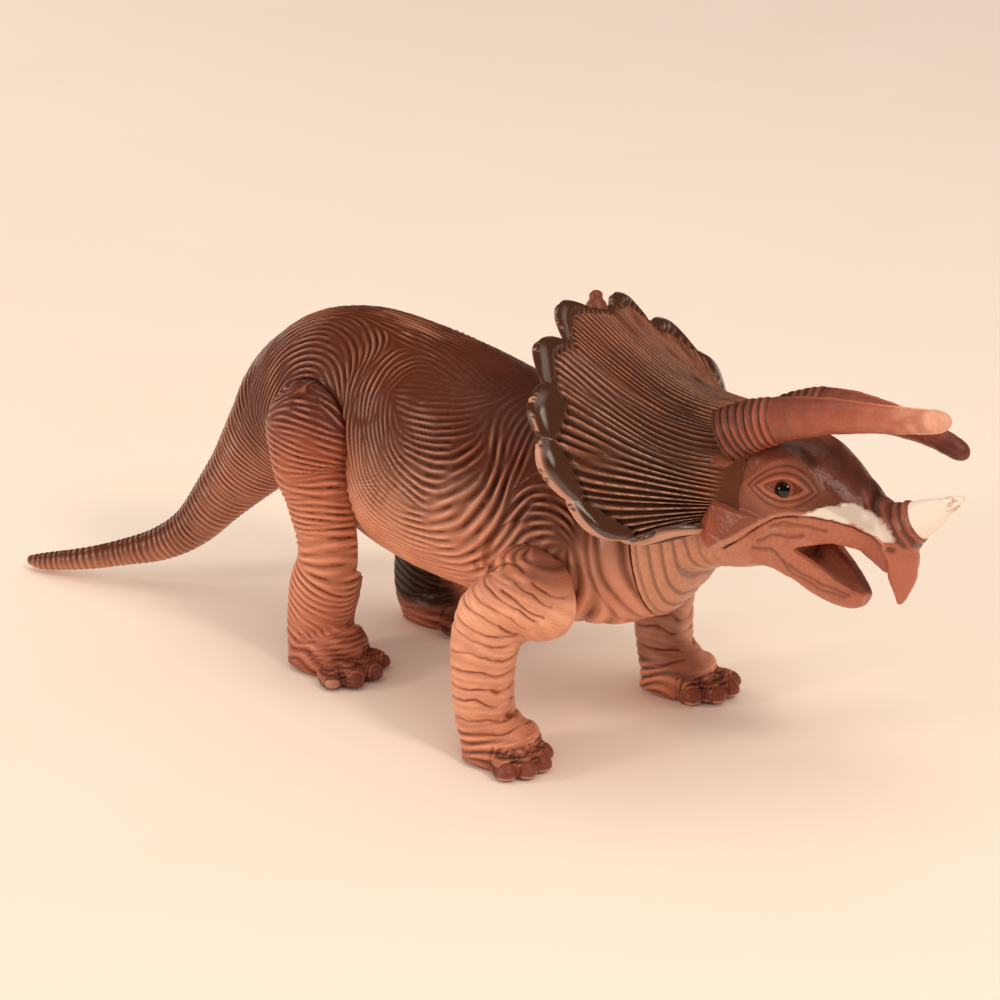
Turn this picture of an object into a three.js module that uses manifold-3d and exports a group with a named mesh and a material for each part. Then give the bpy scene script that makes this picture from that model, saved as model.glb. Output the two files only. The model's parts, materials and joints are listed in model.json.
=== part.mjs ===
// Horned dinosaur toy figure with a bony neck frill, standing on four legs, tail low and mouth open.
// A hollow soft-vinyl body with plug-in mouldings: a neck and lower jaw piece, a skull with its frill,
// four legs, two brow horns, a nose horn and two eyes.
// Millimetres. +X points from tail to head, +Y to the animal's left, +Z up, the floor is z = 0.
import * as THREE from "three";
import { mergeVertices } from "three/addons/utils/BufferGeometryUtils.js";
import Module from "manifold-3d";

const wasm = await Module();
wasm.setup();

// Driving dimensions
const bodySize = 100; // the span that every table of shares below is measured in
const wall = 2.6; // vinyl wall of the blown shell
const sliver = 0.03; // facets thinner than this are merged into their neighbours
const fitGap = 0.35; // clearance between two pieces that touch
const plugGap = 0.4; // clearance between a plug and its hole
const seatGap = 0.45; // clearance between a leg's root and the edge of its seat in the flank
const bossPlate = 3.8; // thickness of the pad around each leg hole
const plugRadius = 5; // leg plug
const plugFlangeRadius = 6.8; // its head, which holds it inside the shell
const plugFlangeThickness = 2;
const neckTiltDeg = 10; // the seam faces this far above the horizon
const neckYawDeg = 20; // and this far to the animal's left
const neckPlate = 3; // end wall of the torso at the neck
const headYawDeg = 12; // the head looks this far to its left
const headRollDeg = 11; // and leans this far to its left
const neckFlangeStep = 2.5; // how far the neck plug's head stands out round it
const hornRings = 7; // folds round the root of a brow horn
const eyeRadius = 2.7;
const ribsPerSide = 13; // ribs on each half of the frill
const ribHeight = 0.55; // how far a rib stands out of the frill
const frillThickness = 3.2;
const scallopDepth = 2.6; // how far a boss stands out of the frill's edge
const toeRound = 8; // sides of a toe
const fineRound = 28; // points round the torso
const midRound = 16; // points round a leg or the neck
const coarseRound = 10; // points round a horn or a hidden hollow
const circleRound = 20; // points round a plug or a hole

const deg = Math.PI / (2 * 90);
const share = (value) => value * bodySize;

// Where the legs and the neck meet the torso, in shares of the body size
const hipHeight = share(0.7); // axis of the hind-leg plugs above the floor
const hipAlong = share(-0.11); // that axis along the body
const hipHalf = share(0.208); // half the width of the pelvis between the thighs
const hipBossRadius = share(0.125); // round pad that the thigh turns against
const hipRootRadius = share(0.155); // round top of the thigh, about its plug
const shoulderHeight = share(0.5); // axis of the foreleg plugs above the floor
const shoulderAlong = share(0.785); // that axis along the body
const shoulderHalf = share(0.27); // half the width of the chest between the forelegs
const shoulderBossRadius = share(0.12);
const shoulderRootRadius = share(0.164);
const neckRadius = share(0.212); // round end of the torso where the neck turns
const neckPlugRadius = share(0.125);
const neckFlangeRadius = neckPlugRadius + neckFlangeStep;
const overrun = share(2); // how far a cutting block reaches past what it cuts

const vec = (x, y, z) => new THREE.Vector3(x, y, z);
const xAxis = vec(1, 0, 0);
const yAxis = vec(0, 1, 0);
const zAxis = vec(0, 0, 1);
const right = -1;
const left = 1;

// Closed bodies from rings of points
function solidOf(geometry) {
  const bare = geometry.clone();
  bare.deleteAttribute("normal");
  bare.deleteAttribute("uv");
  const merged = mergeVertices(bare, 1e-4);
  const mesh = new wasm.Mesh({
    numProp: 3,
    vertProperties: merged.attributes.position.array,
    triVerts: new Uint32Array(merged.index.array),
  });
  return new wasm.Manifold(mesh);
}

function geometryOf(solid) {
  const mesh = solid.getMesh();
  const geometry = new THREE.BufferGeometry();
  const count = mesh.vertProperties.length / mesh.numProp;
  const position = new Float32Array(count * 3);
  for (let i = 0; i < count; i += 1)
    for (let k = 0; k < 3; k += 1) position[i * 3 + k] = mesh.vertProperties[i * mesh.numProp + k];
  geometry.setAttribute("position", new THREE.BufferAttribute(position, 3));
  geometry.setIndex(new THREE.BufferAttribute(new Uint32Array(mesh.triVerts), 1));
  return geometry;
}

// Leaves out the flat specks that meeting surfaces can leave inside a body
function largestShell(solid) {
  return solid.decompose().sort((a, b) => b.volume() - a.volume())[0];
}

function loftSolid(rings) {
  const around = rings[0].length;
  const points = rings.flat();
  const triangles = [];
  for (let r = 0; r + 1 < rings.length; r += 1)
    for (let i = 0; i < around; i += 1) {
      const j = (i + 1) % around;
      const a = r * around + i;
      const b = r * around + j;
      triangles.push([a, b, a + around], [b, b + around, a + around]);
    }
  const middle = (ring) => ring.reduce((sum, p) => sum.add(p), vec(0, 0, 0)).divideScalar(ring.length);
  const first = points.length;
  points.push(middle(rings[0]), middle(rings[rings.length - 1]));
  const end = (rings.length - 1) * around;
  for (let i = 0; i < around; i += 1) {
    const j = (i + 1) % around;
    triangles.push([first, j, i], [first + 1, end + i, end + j]);
  }
  return closed(points, triangles);
}

function closed(points, triangles) {
  const flat = new Float32Array(points.flatMap((p) => [p.x, p.y, p.z]));
  const build = (list) => {
    const geometry = new THREE.BufferGeometry();
    geometry.setAttribute("position", new THREE.BufferAttribute(flat, 3));
    geometry.setIndex(list.flat());
    return solidOf(geometry);
  };
  const solid = build(triangles);
  return solid.volume() > 0 ? solid : build(triangles.map(([a, b, c]) => [a, c, b]));
}

// Rows of a table, resampled along a smooth curve through them
function smoothRows(rows, count) {
  const value = (a, b, c, d, t) =>
    (2 * b + (c - a) * t + (2 * a - 5 * b + 4 * c - d) * t * t + (3 * b - a - 3 * c + d) * t ** 3) / 2;
  const last = rows.length - 1;
  return Array.from({ length: count + 1 }, (_, i) => {
    const place = (i / count) * last;
    const k = Math.min(Math.floor(place), last - 1);
    const row = (n) => rows[Math.min(Math.max(n, 0), last)];
    return row(k).map((_, c) => value(row(k - 1)[c], row(k)[c], row(k + 1)[c], row(k + 2)[c], place - k));
  });
}

// One ring across a path: half widths to the side, above and below, with rounded or squarer corners
function section(centre, side, up, width, above, below, squareness, around) {
  const bend = (x) => Math.sign(x) * Math.abs(x) ** (2 / squareness);
  return Array.from({ length: around }, (_, i) => {
    const angle = (i / around) * 2 * Math.PI;
    const high = bend(Math.sin(angle));
    return centre
      .clone()
      .addScaledVector(side, width * bend(Math.cos(angle)))
      .addScaledVector(up, high > 0 ? above * high : below * high);
  });
}

function alongPath(rows, upHint, around, place, trim) {
  const centres = rows.map(([x, y, z]) => place(vec(share(x), share(y), share(z))));
  return rows.map((row, i) => {
    const ahead = centres[Math.min(i + 1, rows.length - 1)];
    const behind = centres[Math.max(i - 1, 0)];
    const along = ahead.clone().sub(behind).normalize();
    const side = upHint.clone().cross(along).normalize();
    const up = along.clone().cross(side);
    const size = (value) => Math.max(share(value) - trim, plugGap);
    return section(centres[i], side, up, size(row[3]), size(row[4]), size(row[5]), row[6], around);
  });
}

function cylinder(radius, from, to, around = circleRound) {
  const along = to.clone().sub(from);
  const geometry = new THREE.CylinderGeometry(radius, radius, along.length(), around);
  geometry.applyQuaternion(new THREE.Quaternion().setFromUnitVectors(yAxis, along.clone().normalize()));
  geometry.translate(...from.clone().add(to).divideScalar(2).toArray());
  return solidOf(geometry);
}

function box(low, high) {
  const size = high.clone().sub(low);
  const geometry = new THREE.BoxGeometry(size.x, size.y, size.z);
  geometry.translate(...low.clone().add(high).divideScalar(2).toArray());
  return solidOf(geometry);
}

// A flat outline in the plane of x and z, carried straight across from one y to another
function crosswise(outline, fromY, toY) {
  const shape = new THREE.Shape(outline.map(([x, z]) => new THREE.Vector2(x, z)));
  const geometry = new THREE.ExtrudeGeometry(shape, { depth: toY - fromY, bevelEnabled: false });
  geometry.rotateX(90 * deg);
  geometry.translate(0, toY, 0);
  return solidOf(geometry);
}

function ball(centre, size, around, tilt = 0) {
  const geometry = new THREE.SphereGeometry(1, around, Math.max(around / 2, 4));
  geometry.scale(size.x, size.y, size.z);
  geometry.rotateZ(tilt);
  geometry.translate(centre.x, centre.y, centre.z);
  return solidOf(geometry);
}

const asIs = (point) => point;

// Torso and tail: one blown shell, open at the neck and at the four leg holes
// Shares: along, across, height, half width, half height above, half height below, squareness
const torsoShares = [
  [1.08, 0.035, 0.612, 0.203, 0.203, 0.203, 2],
  [0.996, 0.007, 0.599, 0.212, 0.212, 0.212, 2],
  [0.94, 0.003, 0.588, 0.228, 0.222, 0.226, 2],
  [0.88, 0.002, 0.58, 0.252, 0.24, 0.248, 2.25],
  [0.78, 0, 0.588, 0.276, 0.262, 0.27, 2.4],
  [0.65, 0, 0.602, 0.288, 0.286, 0.29, 2.3],
  [0.5, 0, 0.622, 0.325, 0.298, 0.304, 2.1],
  [0.35, 0, 0.64, 0.325, 0.322, 0.318, 2.1],
  [0.2, 0, 0.66, 0.29, 0.335, 0.328, 2.2],
  [0.05, 0, 0.683, 0.245, 0.335, 0.325, 2.3],
  [-0.11, 0, 0.705, 0.222, 0.315, 0.29, 2.3],
  [-0.26, 0, 0.69, 0.2, 0.275, 0.245, 2.15],
  [-0.385, -0.005, 0.645, 0.168, 0.205, 0.195, 2],
  [-0.48, -0.015, 0.56, 0.142, 0.142, 0.165, 2],
  [-0.565, -0.03, 0.447, 0.118, 0.112, 0.12, 2],
  [-0.653, -0.06, 0.332, 0.088, 0.088, 0.088, 2],
  [-0.749, -0.1, 0.211, 0.066, 0.066, 0.066, 2],
  [-0.84, -0.15, 0.143, 0.053, 0.053, 0.053, 2],
  [-0.947, -0.21, 0.102, 0.041, 0.041, 0.041, 2],
  [-1.061, -0.27, 0.068, 0.034, 0.034, 0.034, 2],
  [-1.2, -0.32, 0.036, 0.026, 0.026, 0.026, 2],
  [-1.255, -0.333, 0.03, 0.014, 0.014, 0.014, 2],
];
const torsoStations = 30;
const hollowStations = 16;
const neckRow = 1; // the row of the table where the neck turns
const hollowEnd = 16; // rows of the table that the hollow runs through

const neckLevel = Math.cos(neckTiltDeg * deg);
const neckForward = vec(
  neckLevel * Math.cos(neckYawDeg * deg),
  neckLevel * Math.sin(neckYawDeg * deg),
  Math.sin(neckTiltDeg * deg),
);
const neckCentre = vec(...torsoShares[neckRow].slice(0, 3).map(share));
const neckSideways = zAxis.clone().cross(neckForward).normalize();
const onNeckAxis = (distance) => neckCentre.clone().addScaledVector(neckForward, distance);

function neckSlab(from, to) {
  return cylinder(overrun, onNeckAxis(from), onNeckAxis(to));
}

// The seat of a leg in the flank: round about the plug, then down along the leg's own front line
function legSeat(leg, grow, from, to) {
  const { along, height, rootRadius, backRoom } = leg;
  const front = leg.rows
    .filter(([, , z]) => share(z) < height)
    .map(([x, , z, , ahead]) => [share(x + ahead) + seatGap + grow, share(z)]);
  const foot = front[front.length - 1];
  const back = along - backRoom;
  const outline = [[back, foot[1]], [back, height], [along + rootRadius + seatGap + grow, height], ...front];
  const radius = rootRadius + seatGap + grow;
  const round = cylinder(radius, vec(along, from, height), vec(along, to, height), fineRound);
  return round.add(crosswise(outline, Math.min(from, to), Math.max(from, to)));
}

const seatReach = share(0.6); // a seat is cut from the pad out to here

function torso() {
  const rows = smoothRows(torsoShares, torsoStations);
  let body = loftSolid(alongPath(rows, zAxis, fineRound, asIs, 0));
  body = body.subtract(neckSlab(0, overrun));
  const inner = smoothRows(torsoShares.slice(0, hollowEnd), hollowStations);
  let hollow = loftSolid(alongPath(inner, zAxis, coarseRound, asIs, wall));
  hollow = hollow.subtract(neckSlab(-neckPlate, overrun));
  for (const leg of [hindLeg, foreLeg])
    for (const hand of [right, left]) {
      const at = (depth) => hand * (leg.at - depth);
      const skin = at(bossPlate);
      const pocket = at(bossPlate + pocketDepth);
      const pocketRadius = plugFlangeRadius + plugGap;
      body = body.subtract(legSeat(leg, 0, at(0), hand * seatReach));
      hollow = hollow
        .subtract(legSeat(leg, wall, skin, hand * seatReach))
        .add(cylinder(pocketRadius, vec(leg.along, pocket, leg.height), vec(leg.along, skin, leg.height)));
    }
  body = body.subtract(hollow);
  for (const leg of [hindLeg, foreLeg])
    for (const hand of [right, left]) {
      const face = vec(leg.along, hand * leg.at, leg.height);
      const skin = vec(leg.along, hand * (leg.at - bossPlate), leg.height);
      const inside = vec(leg.along, hand * (leg.at - 2 * bossPlate), leg.height);
      const outside = vec(leg.along, hand * seatReach, leg.height);
      body = body.add(cylinder(leg.bossRadius, skin, face)).subtract(cylinder(plugRadius + plugGap, inside, outside));
    }
  return body.subtract(cylinder(neckPlugRadius + plugGap, onNeckAxis(-2 * neckPlate), onNeckAxis(neckPlate)));
}

// Legs: a domed root that turns flat against the body, a shank, a foot with four toes, and the plug
// Shares for the right leg: along, across, height, half width outwards and inwards (across), half width along
const hindShares = [
  [-0.11, -0.23, 0.848, 0.03, 0.022, 0.022, 2],
  [-0.11, -0.225, 0.838, 0.055, 0.055, 0.055, 2],
  [-0.11, -0.215, 0.8, 0.095, 0.108, 0.108, 2],
  [-0.11, -0.208, 0.72, 0.125, 0.143, 0.143, 2],
  [-0.1, -0.208, 0.61, 0.126, 0.132, 0.132, 2],
  [-0.07, -0.208, 0.53, 0.12, 0.115, 0.115, 2],
  [-0.048, -0.212, 0.45, 0.112, 0.106, 0.106, 2],
  [-0.034, -0.22, 0.39, 0.102, 0.098, 0.098, 2],
  [-0.034, -0.224, 0.326, 0.1, 0.094, 0.094, 2],
  [-0.06, -0.224, 0.24, 0.1, 0.102, 0.102, 2.1],
  [-0.076, -0.226, 0.157, 0.096, 0.096, 0.096, 2.1],
  [-0.074, -0.23, 0.095, 0.098, 0.1, 0.098, 2.1],
  [-0.045, -0.238, 0.05, 0.11, 0.125, 0.118, 2.3],
  [-0.036, -0.24, 0.01, 0.112, 0.128, 0.12, 2.3],
  [-0.036, -0.24, -0.02, 0.108, 0.122, 0.114, 2.3],
];
const hindToeShares = [
  [0.127, -0.15],
  [0.171, -0.236],
  [0.166, -0.322],
  [0.118, -0.38],
];
const foreShares = [
  [0.79, -0.28, 0.595, 0.03, 0.03, 0.03, 2],
  [0.79, -0.28, 0.58, 0.065, 0.08, 0.08, 2],
  [0.796, -0.283, 0.53, 0.11, 0.145, 0.145, 2],
  [0.784, -0.295, 0.475, 0.13, 0.13, 0.16, 2],
  [0.745, -0.318, 0.43, 0.135, 0.1, 0.125, 2],
  [0.722, -0.348, 0.39, 0.125, 0.09, 0.106, 2],
  [0.711, -0.372, 0.345, 0.108, 0.09, 0.095, 2],
  [0.708, -0.384, 0.29, 0.097, 0.089, 0.089, 2],
  [0.706, -0.384, 0.2, 0.09, 0.083, 0.083, 2.1],
  [0.714, -0.382, 0.12, 0.088, 0.08, 0.08, 2.1],
  [0.735, -0.38, 0.075, 0.094, 0.096, 0.09, 2.1],
  [0.758, -0.378, 0.04, 0.108, 0.122, 0.115, 2.3],
  [0.766, -0.378, 0.01, 0.108, 0.122, 0.112, 2.3],
  [0.766, -0.378, -0.02, 0.104, 0.116, 0.106, 2.3],
];
const foreToeShares = [
  [0.892, -0.3],
  [0.94, -0.37],
  [0.938, -0.44],
  [0.9, -0.497],
];
const stride = 0.07; // the left forefoot stands this share further forward than the right
const tuck = 0.065; // and this share further in
const legStations = 15;
const legHollowStations = 8;
const pocketDepth = 2 * plugFlangeThickness;
const legHollowRows = [2, 9]; // rows of the table that the hollow of a leg runs through
const toeHeight = share(0.05);
const toeWidth = share(0.042);
const toeLength = share(0.065);
const soleDepth = share(0.3);
const legWall = 1.4 * wall;
const hindInnerHeight = share(0.315); // above this the hind leg keeps outside the pelvis
const foreInnerHeight = share(0.27); // above this the foreleg keeps outside the chest

function legSolid(spec, hand) {
  const { rows, toes, along, height, at, step, inward } = spec;
  const shifted = rows.map(([x, y, z, ...sizes]) => {
    const low = Math.min(1, Math.max(0, 1 - share(z) / height));
    return [x + step * low, -hand * (y + inward * low), z, ...sizes];
  });
  const down = smoothRows(shifted, legStations);
  let leg = loftSolid(alongPath(down, xAxis, midRound, asIs, 0));
  const [soleX, soleY] = rows[rows.length - 1];
  const heel = vec(share(soleX + step), -hand * share(soleY + inward), 0);
  for (const [x, y] of toes) {
    const tip = vec(share(x + step), -hand * share(y + inward), 0);
    const way = tip.clone().sub(heel);
    const turn = Math.atan2(way.y, way.x);
    const centre = tip.clone().addScaledVector(way.normalize(), -toeLength);
    leg = leg.add(ball(centre.setZ(toeHeight / 2), vec(toeLength, toeWidth, toeHeight), toeRound, turn));
  }
  leg = leg.subtract(box(vec(-overrun, -overrun, -soleDepth), vec(overrun, overrun, 0)));
  const face = hand * (at + fitGap);
  const clear = spec.clearBelow;
  const bodySide = box(vec(-overrun, Math.min(face, 0), clear), vec(overrun, Math.max(face, 0), overrun));
  leg = leg.subtract(bodySide);
  const stemEnd = hand * (at - bossPlate - fitGap - plugFlangeThickness);
  const flangeStart = hand * (at - bossPlate - fitGap);
  leg = leg
    .add(cylinder(plugRadius, vec(along, stemEnd, height), vec(along, face + hand * wall, height)))
    .add(cylinder(plugFlangeRadius, vec(along, stemEnd, height), vec(along, flangeStart, height)));
  const hollowRows = smoothRows(shifted.slice(...legHollowRows), legHollowStations);
  let hollow = loftSolid(alongPath(hollowRows, xAxis, coarseRound, asIs, legWall));
  const skin = hand * (at + fitGap + wall);
  const far = hand * overrun;
  const outside = box(vec(-overrun, Math.min(skin, far), 0), vec(overrun, Math.max(skin, far), overrun));
  const low = box(vec(-overrun, -overrun, 0), vec(overrun, overrun, clear - wall));
  hollow = hollow.intersect(outside.add(low));
  const bore = cylinder(plugRadius - wall, vec(along, 0, height), vec(along, face + hand * 2 * wall, height));
  return leg.subtract(hollow).subtract(bore);
}

const hindLeg = {
  rows: hindShares,
  toes: hindToeShares,
  along: hipAlong,
  height: hipHeight,
  at: hipHalf,
  rootRadius: hipRootRadius,
  bossRadius: hipBossRadius,
  backRoom: 1.1 * hipRootRadius,
  step: 0,
  inward: 0,
  clearBelow: hindInnerHeight,
};
const foreLeg = {
  rows: foreShares,
  toes: foreToeShares,
  along: shoulderAlong,
  height: shoulderHeight,
  at: shoulderHalf,
  rootRadius: shoulderRootRadius,
  bossRadius: shoulderBossRadius,
  backRoom: 1.2 * shoulderRootRadius,
  step: 0,
  inward: 0,
  clearBelow: foreInnerHeight,
};

// Head frame: forward, to the animal's left and up, turned and leaned as the head is carried
const yaw = headYawDeg * deg;
const roll = headRollDeg * deg;
const headForward = vec(Math.cos(yaw), Math.sin(yaw), 0);
const levelSide = vec(-Math.sin(yaw), Math.cos(yaw), 0);
const headSide = levelSide.clone().multiplyScalar(Math.cos(roll)).addScaledVector(zAxis, -Math.sin(roll));
const headUp = headForward.clone().cross(headSide);
const headOriginShares = [1.02, 0, 0.58];
const headOrigin = vec(...headOriginShares.map(share));
const inHead = new THREE.Matrix4().makeBasis(headForward, headSide, headUp).setPosition(headOrigin);
const headPoint = (point) => point.clone().applyMatrix4(inHead);
const headBody = (solid) => {
  const geometry = geometryOf(solid);
  geometry.applyMatrix4(inHead);
  return solidOf(geometry);
};

// Skull from the nape to the beak. Shares: forward, side, up, half width, above, below, squareness
const skullShares = [
  [0.03, 0, 0.26, 0.14, 0.1, 0.12, 2],
  [0.09, 0, 0.25, 0.2, 0.15, 0.2, 2.1],
  [0.17, 0, 0.24, 0.232, 0.175, 0.24, 2.2],
  [0.26, 0, 0.235, 0.225, 0.175, 0.235, 2.2],
  [0.35, 0, 0.23, 0.185, 0.17, 0.22, 2.2],
  [0.43, 0, 0.22, 0.152, 0.165, 0.19, 2.2],
  [0.5, 0, 0.205, 0.128, 0.135, 0.15, 2.1],
  [0.58, 0, 0.185, 0.1, 0.09, 0.12, 2],
  [0.64, 0, 0.165, 0.077, 0.075, 0.1, 2],
  [0.69, 0, 0.14, 0.055, 0.08, 0.1, 2],
  [0.72, 0, 0.115, 0.038, 0.075, 0.08, 2],
  [0.735, 0, 0.11, 0.015, 0.03, 0.03, 2],
];
const beakShares = [
  [0.63, 0, 0.15, 0.075, 0.05, 0.05, 2],
  [0.685, 0, 0.12, 0.055, 0.055, 0.055, 2],
  [0.698, 0, 0.075, 0.042, 0.05, 0.05, 2],
  [0.705, 0, 0.035, 0.028, 0.036, 0.03, 2],
  [0.709, 0, 0.005, 0.016, 0.02, 0.018, 2],
  [0.706, 0, -0.02, 0.006, 0.007, 0.007, 2],
];
// Neck from the seam forward into the throat and lower jaw
const throatShares = [
  [0.16, 0, 0.13, 0.235, 0.24, 0.17, 2],
  [0.23, 0, 0.12, 0.215, 0.2, 0.125, 2.1],
  [0.31, 0, 0.12, 0.195, 0.12, 0.11, 2.2],
  [0.38, 0, 0.1, 0.17, 0.1, 0.085, 2.2],
  [0.45, 0, 0.07, 0.14, 0.09, 0.08, 2.2],
  [0.52, 0, 0.02, 0.105, 0.08, 0.065, 2.1],
  [0.58, 0, -0.01, 0.065, 0.06, 0.05, 2],
  [0.615, 0, -0.02, 0.03, 0.028, 0.025, 2],
];
const skullStations = 18;
const jawStations = 14;
const neckStations = 4;
const neckWall = 1.5 * wall;
const neckEase = 1.5; // how late the neck's circle turns into the throat

// The line over cheek and lip where the skull moulding sits on the lower moulding, in side view
const seamShares = [
  [-0.3, 0.36],
  [0.1, 0.345],
  [0.17, 0.2],
  [0.27, 0.08],
  [0.33, 0.12],
  [0.43, 0.192],
  [0.5, 0.2],
  [0.58, 0.19],
  [0.65, 0.165],
  [0.675, 0.12],
  [0.675, -0.5],
];
const belowSeamShares = [...seamShares, [-0.3, -0.5]];
const aboveSeamShares = [...seamShares, [1.2, -0.5], [1.2, 1], [-0.6, 1], [-0.6, 0.36]];
// The hollow of the lower moulding is open upwards over the cheeks, where the skull covers it
const openTopShares = [[-0.3, 0.56], [0.1, 0.545], [0.17, 0.4], [0.27, 0.28], [0.33, 0.32], [0.43, 0.392]];
const hollowSideShares = [...openTopShares, [0.58, 0.39], [0.58, -0.5], [-0.3, -0.5]];
const mouthWallShares = [
  [0.4, 0.13],
  [0.41, 0.07],
  [0.55, 0.02],
  [0.9, -0.3],
  [0.9, 0.15],
  [0.53, 0.155],
];
const mouthShares = [
  [0.44, 0.1],
  [0.53, 0.125],
  [0.6, 0.115],
  [0.64, 0.08],
  [0.665, 0.04],
  [0.678, 0.005],
  [0.688, -0.035],
  [0.72, -0.2],
  [0.66, -0.2],
  [0.635, -0.035],
  [0.615, -0.008],
  [0.53, 0.045],
];

const sideView = (line, raised = 0) =>
  crosswise(line.map(([u, w]) => [share(u), share(w) + raised]), -overrun, overrun);
const headLoft = (rows, count, around, trim = 0, hint = zAxis) =>
  loftSolid(alongPath(smoothRows(rows, count), hint, around, asIs, trim));

// The neck starts as the torso's own circle and turns into the throat
function neckSolid(trim, around, beyond) {
  const up = neckForward.clone().cross(neckSideways);
  const circle = (distance, radius) =>
    section(onNeckAxis(distance), neckSideways, up, radius, radius, radius, 2, around);
  const throat = throatShares[0];
  const end = alongPath(throatShares.slice(0, 2), zAxis, around, asIs, trim)[0].map(headPoint);
  const start = circle(fitGap - beyond, neckRadius - trim);
  const rings = [start];
  for (let i = 1; i <= neckStations; i += 1) {
    const t = i / neckStations;
    const ring = circle(fitGap + t * share(throat[0] / 2), neckRadius - trim);
    rings.push(ring.map((p, k) => p.clone().lerp(end[k], t ** neckEase)));
  }
  return loftSolid(rings);
}

// Outside of the lower moulding, grown on every side for the clearance round it
function lowerOutside(grow) {
  const throat = headLoft(throatShares, jawStations, midRound, -grow);
  const lip = headLoft(skullShares, skullStations, midRound, -grow);
  const seam = headBody(sideView(belowSeamShares, grow));
  return headBody(throat.add(lip)).add(neckSolid(-grow, midRound, grow)).intersect(seam);
}

function lowerMoulding() {
  const mouth = headBody(sideView(mouthShares));
  const hollowJaw = headLoft(throatShares.slice(0, 5), legHollowStations, coarseRound, wall);
  const hollowLip = headLoft(skullShares.slice(1, 7), legHollowStations, coarseRound, wall);
  const hollow = hollowJaw.add(hollowLip).intersect(sideView(hollowSideShares)).subtract(sideView(mouthWallShares));
  const inside = headBody(hollow).add(neckSolid(neckWall, coarseRound, -wall));
  const flangeEnd = -neckPlate - fitGap;
  const plug = cylinder(neckPlugRadius, onNeckAxis(flangeEnd - plugFlangeThickness), onNeckAxis(wall));
  const flange = cylinder(neckFlangeRadius, onNeckAxis(flangeEnd - plugFlangeThickness), onNeckAxis(flangeEnd));
  const bore = cylinder(neckPlugRadius - wall, onNeckAxis(-4 * neckPlate), onNeckAxis(2 * wall));
  return lowerOutside(0).subtract(mouth).subtract(inside).add(plug).add(flange).subtract(bore);
}

// Frill: a fan of ribs from the back of the skull to a scalloped rim
// Shares for the left half, from the crown down to the cheek: side, forward, up
const rimShares = [
  [0, -0.275, 0.622],
  [0.08, -0.292, 0.632],
  [0.15, -0.312, 0.636],
  [0.2, -0.3, 0.612],
  [0.255, -0.258, 0.566],
  [0.31, -0.264, 0.562],
  [0.37, -0.262, 0.548],
  [0.425, -0.225, 0.506],
  [0.478, -0.19, 0.466],
  [0.54, -0.172, 0.404],
  [0.562, -0.13, 0.32],
  [0.556, -0.1, 0.25],
  [0.522, -0.043, 0.173],
  [0.48, 0.01, 0.113],
  [0.43, 0.055, 0.085],
  [0.38, 0.105, 0.082],
  [0.33, 0.175, 0.112],
  [0.285, 0.235, 0.12],
];
const rootShares = [
  [0, 0.185, 0.405],
  [0.06, 0.19, 0.4],
  [0.12, 0.2, 0.38],
  [0.155, 0.21, 0.355],
  [0.178, 0.215, 0.33],
  [0.195, 0.22, 0.3],
  [0.205, 0.22, 0.275],
  [0.212, 0.22, 0.25],
  [0.216, 0.22, 0.225],
  [0.218, 0.225, 0.2],
  [0.218, 0.23, 0.18],
  [0.218, 0.235, 0.165],
  [0.216, 0.24, 0.155],
  [0.214, 0.25, 0.15],
  [0.21, 0.255, 0.145],
];
// Where the notches between the rim's bosses lie, from the crown to the cheek
const notchShares = [0.04, 0.225, 0.45, 0.565, 0.69, 0.83, 1];
const bossLevel = 0.6; // of a boss's height, the part that lies inside the rim's own line
const bossSwell = 0.7; // how much thicker than the ribbed sheet a boss is at its middle
const frillAcross = 6 * ribsPerSide; // facets from one cheek over the crown to the other
const frillOut = 4; // facets from the skull to the rim
const frillDish = share(0.035);
const bossRoundness = 0.6;
const ribPlateau = 0.8; // share of the way out where the ribs fade into the smooth bosses
const rootDepth = share(0.06); // how far the frill's root reaches into the skull

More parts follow.
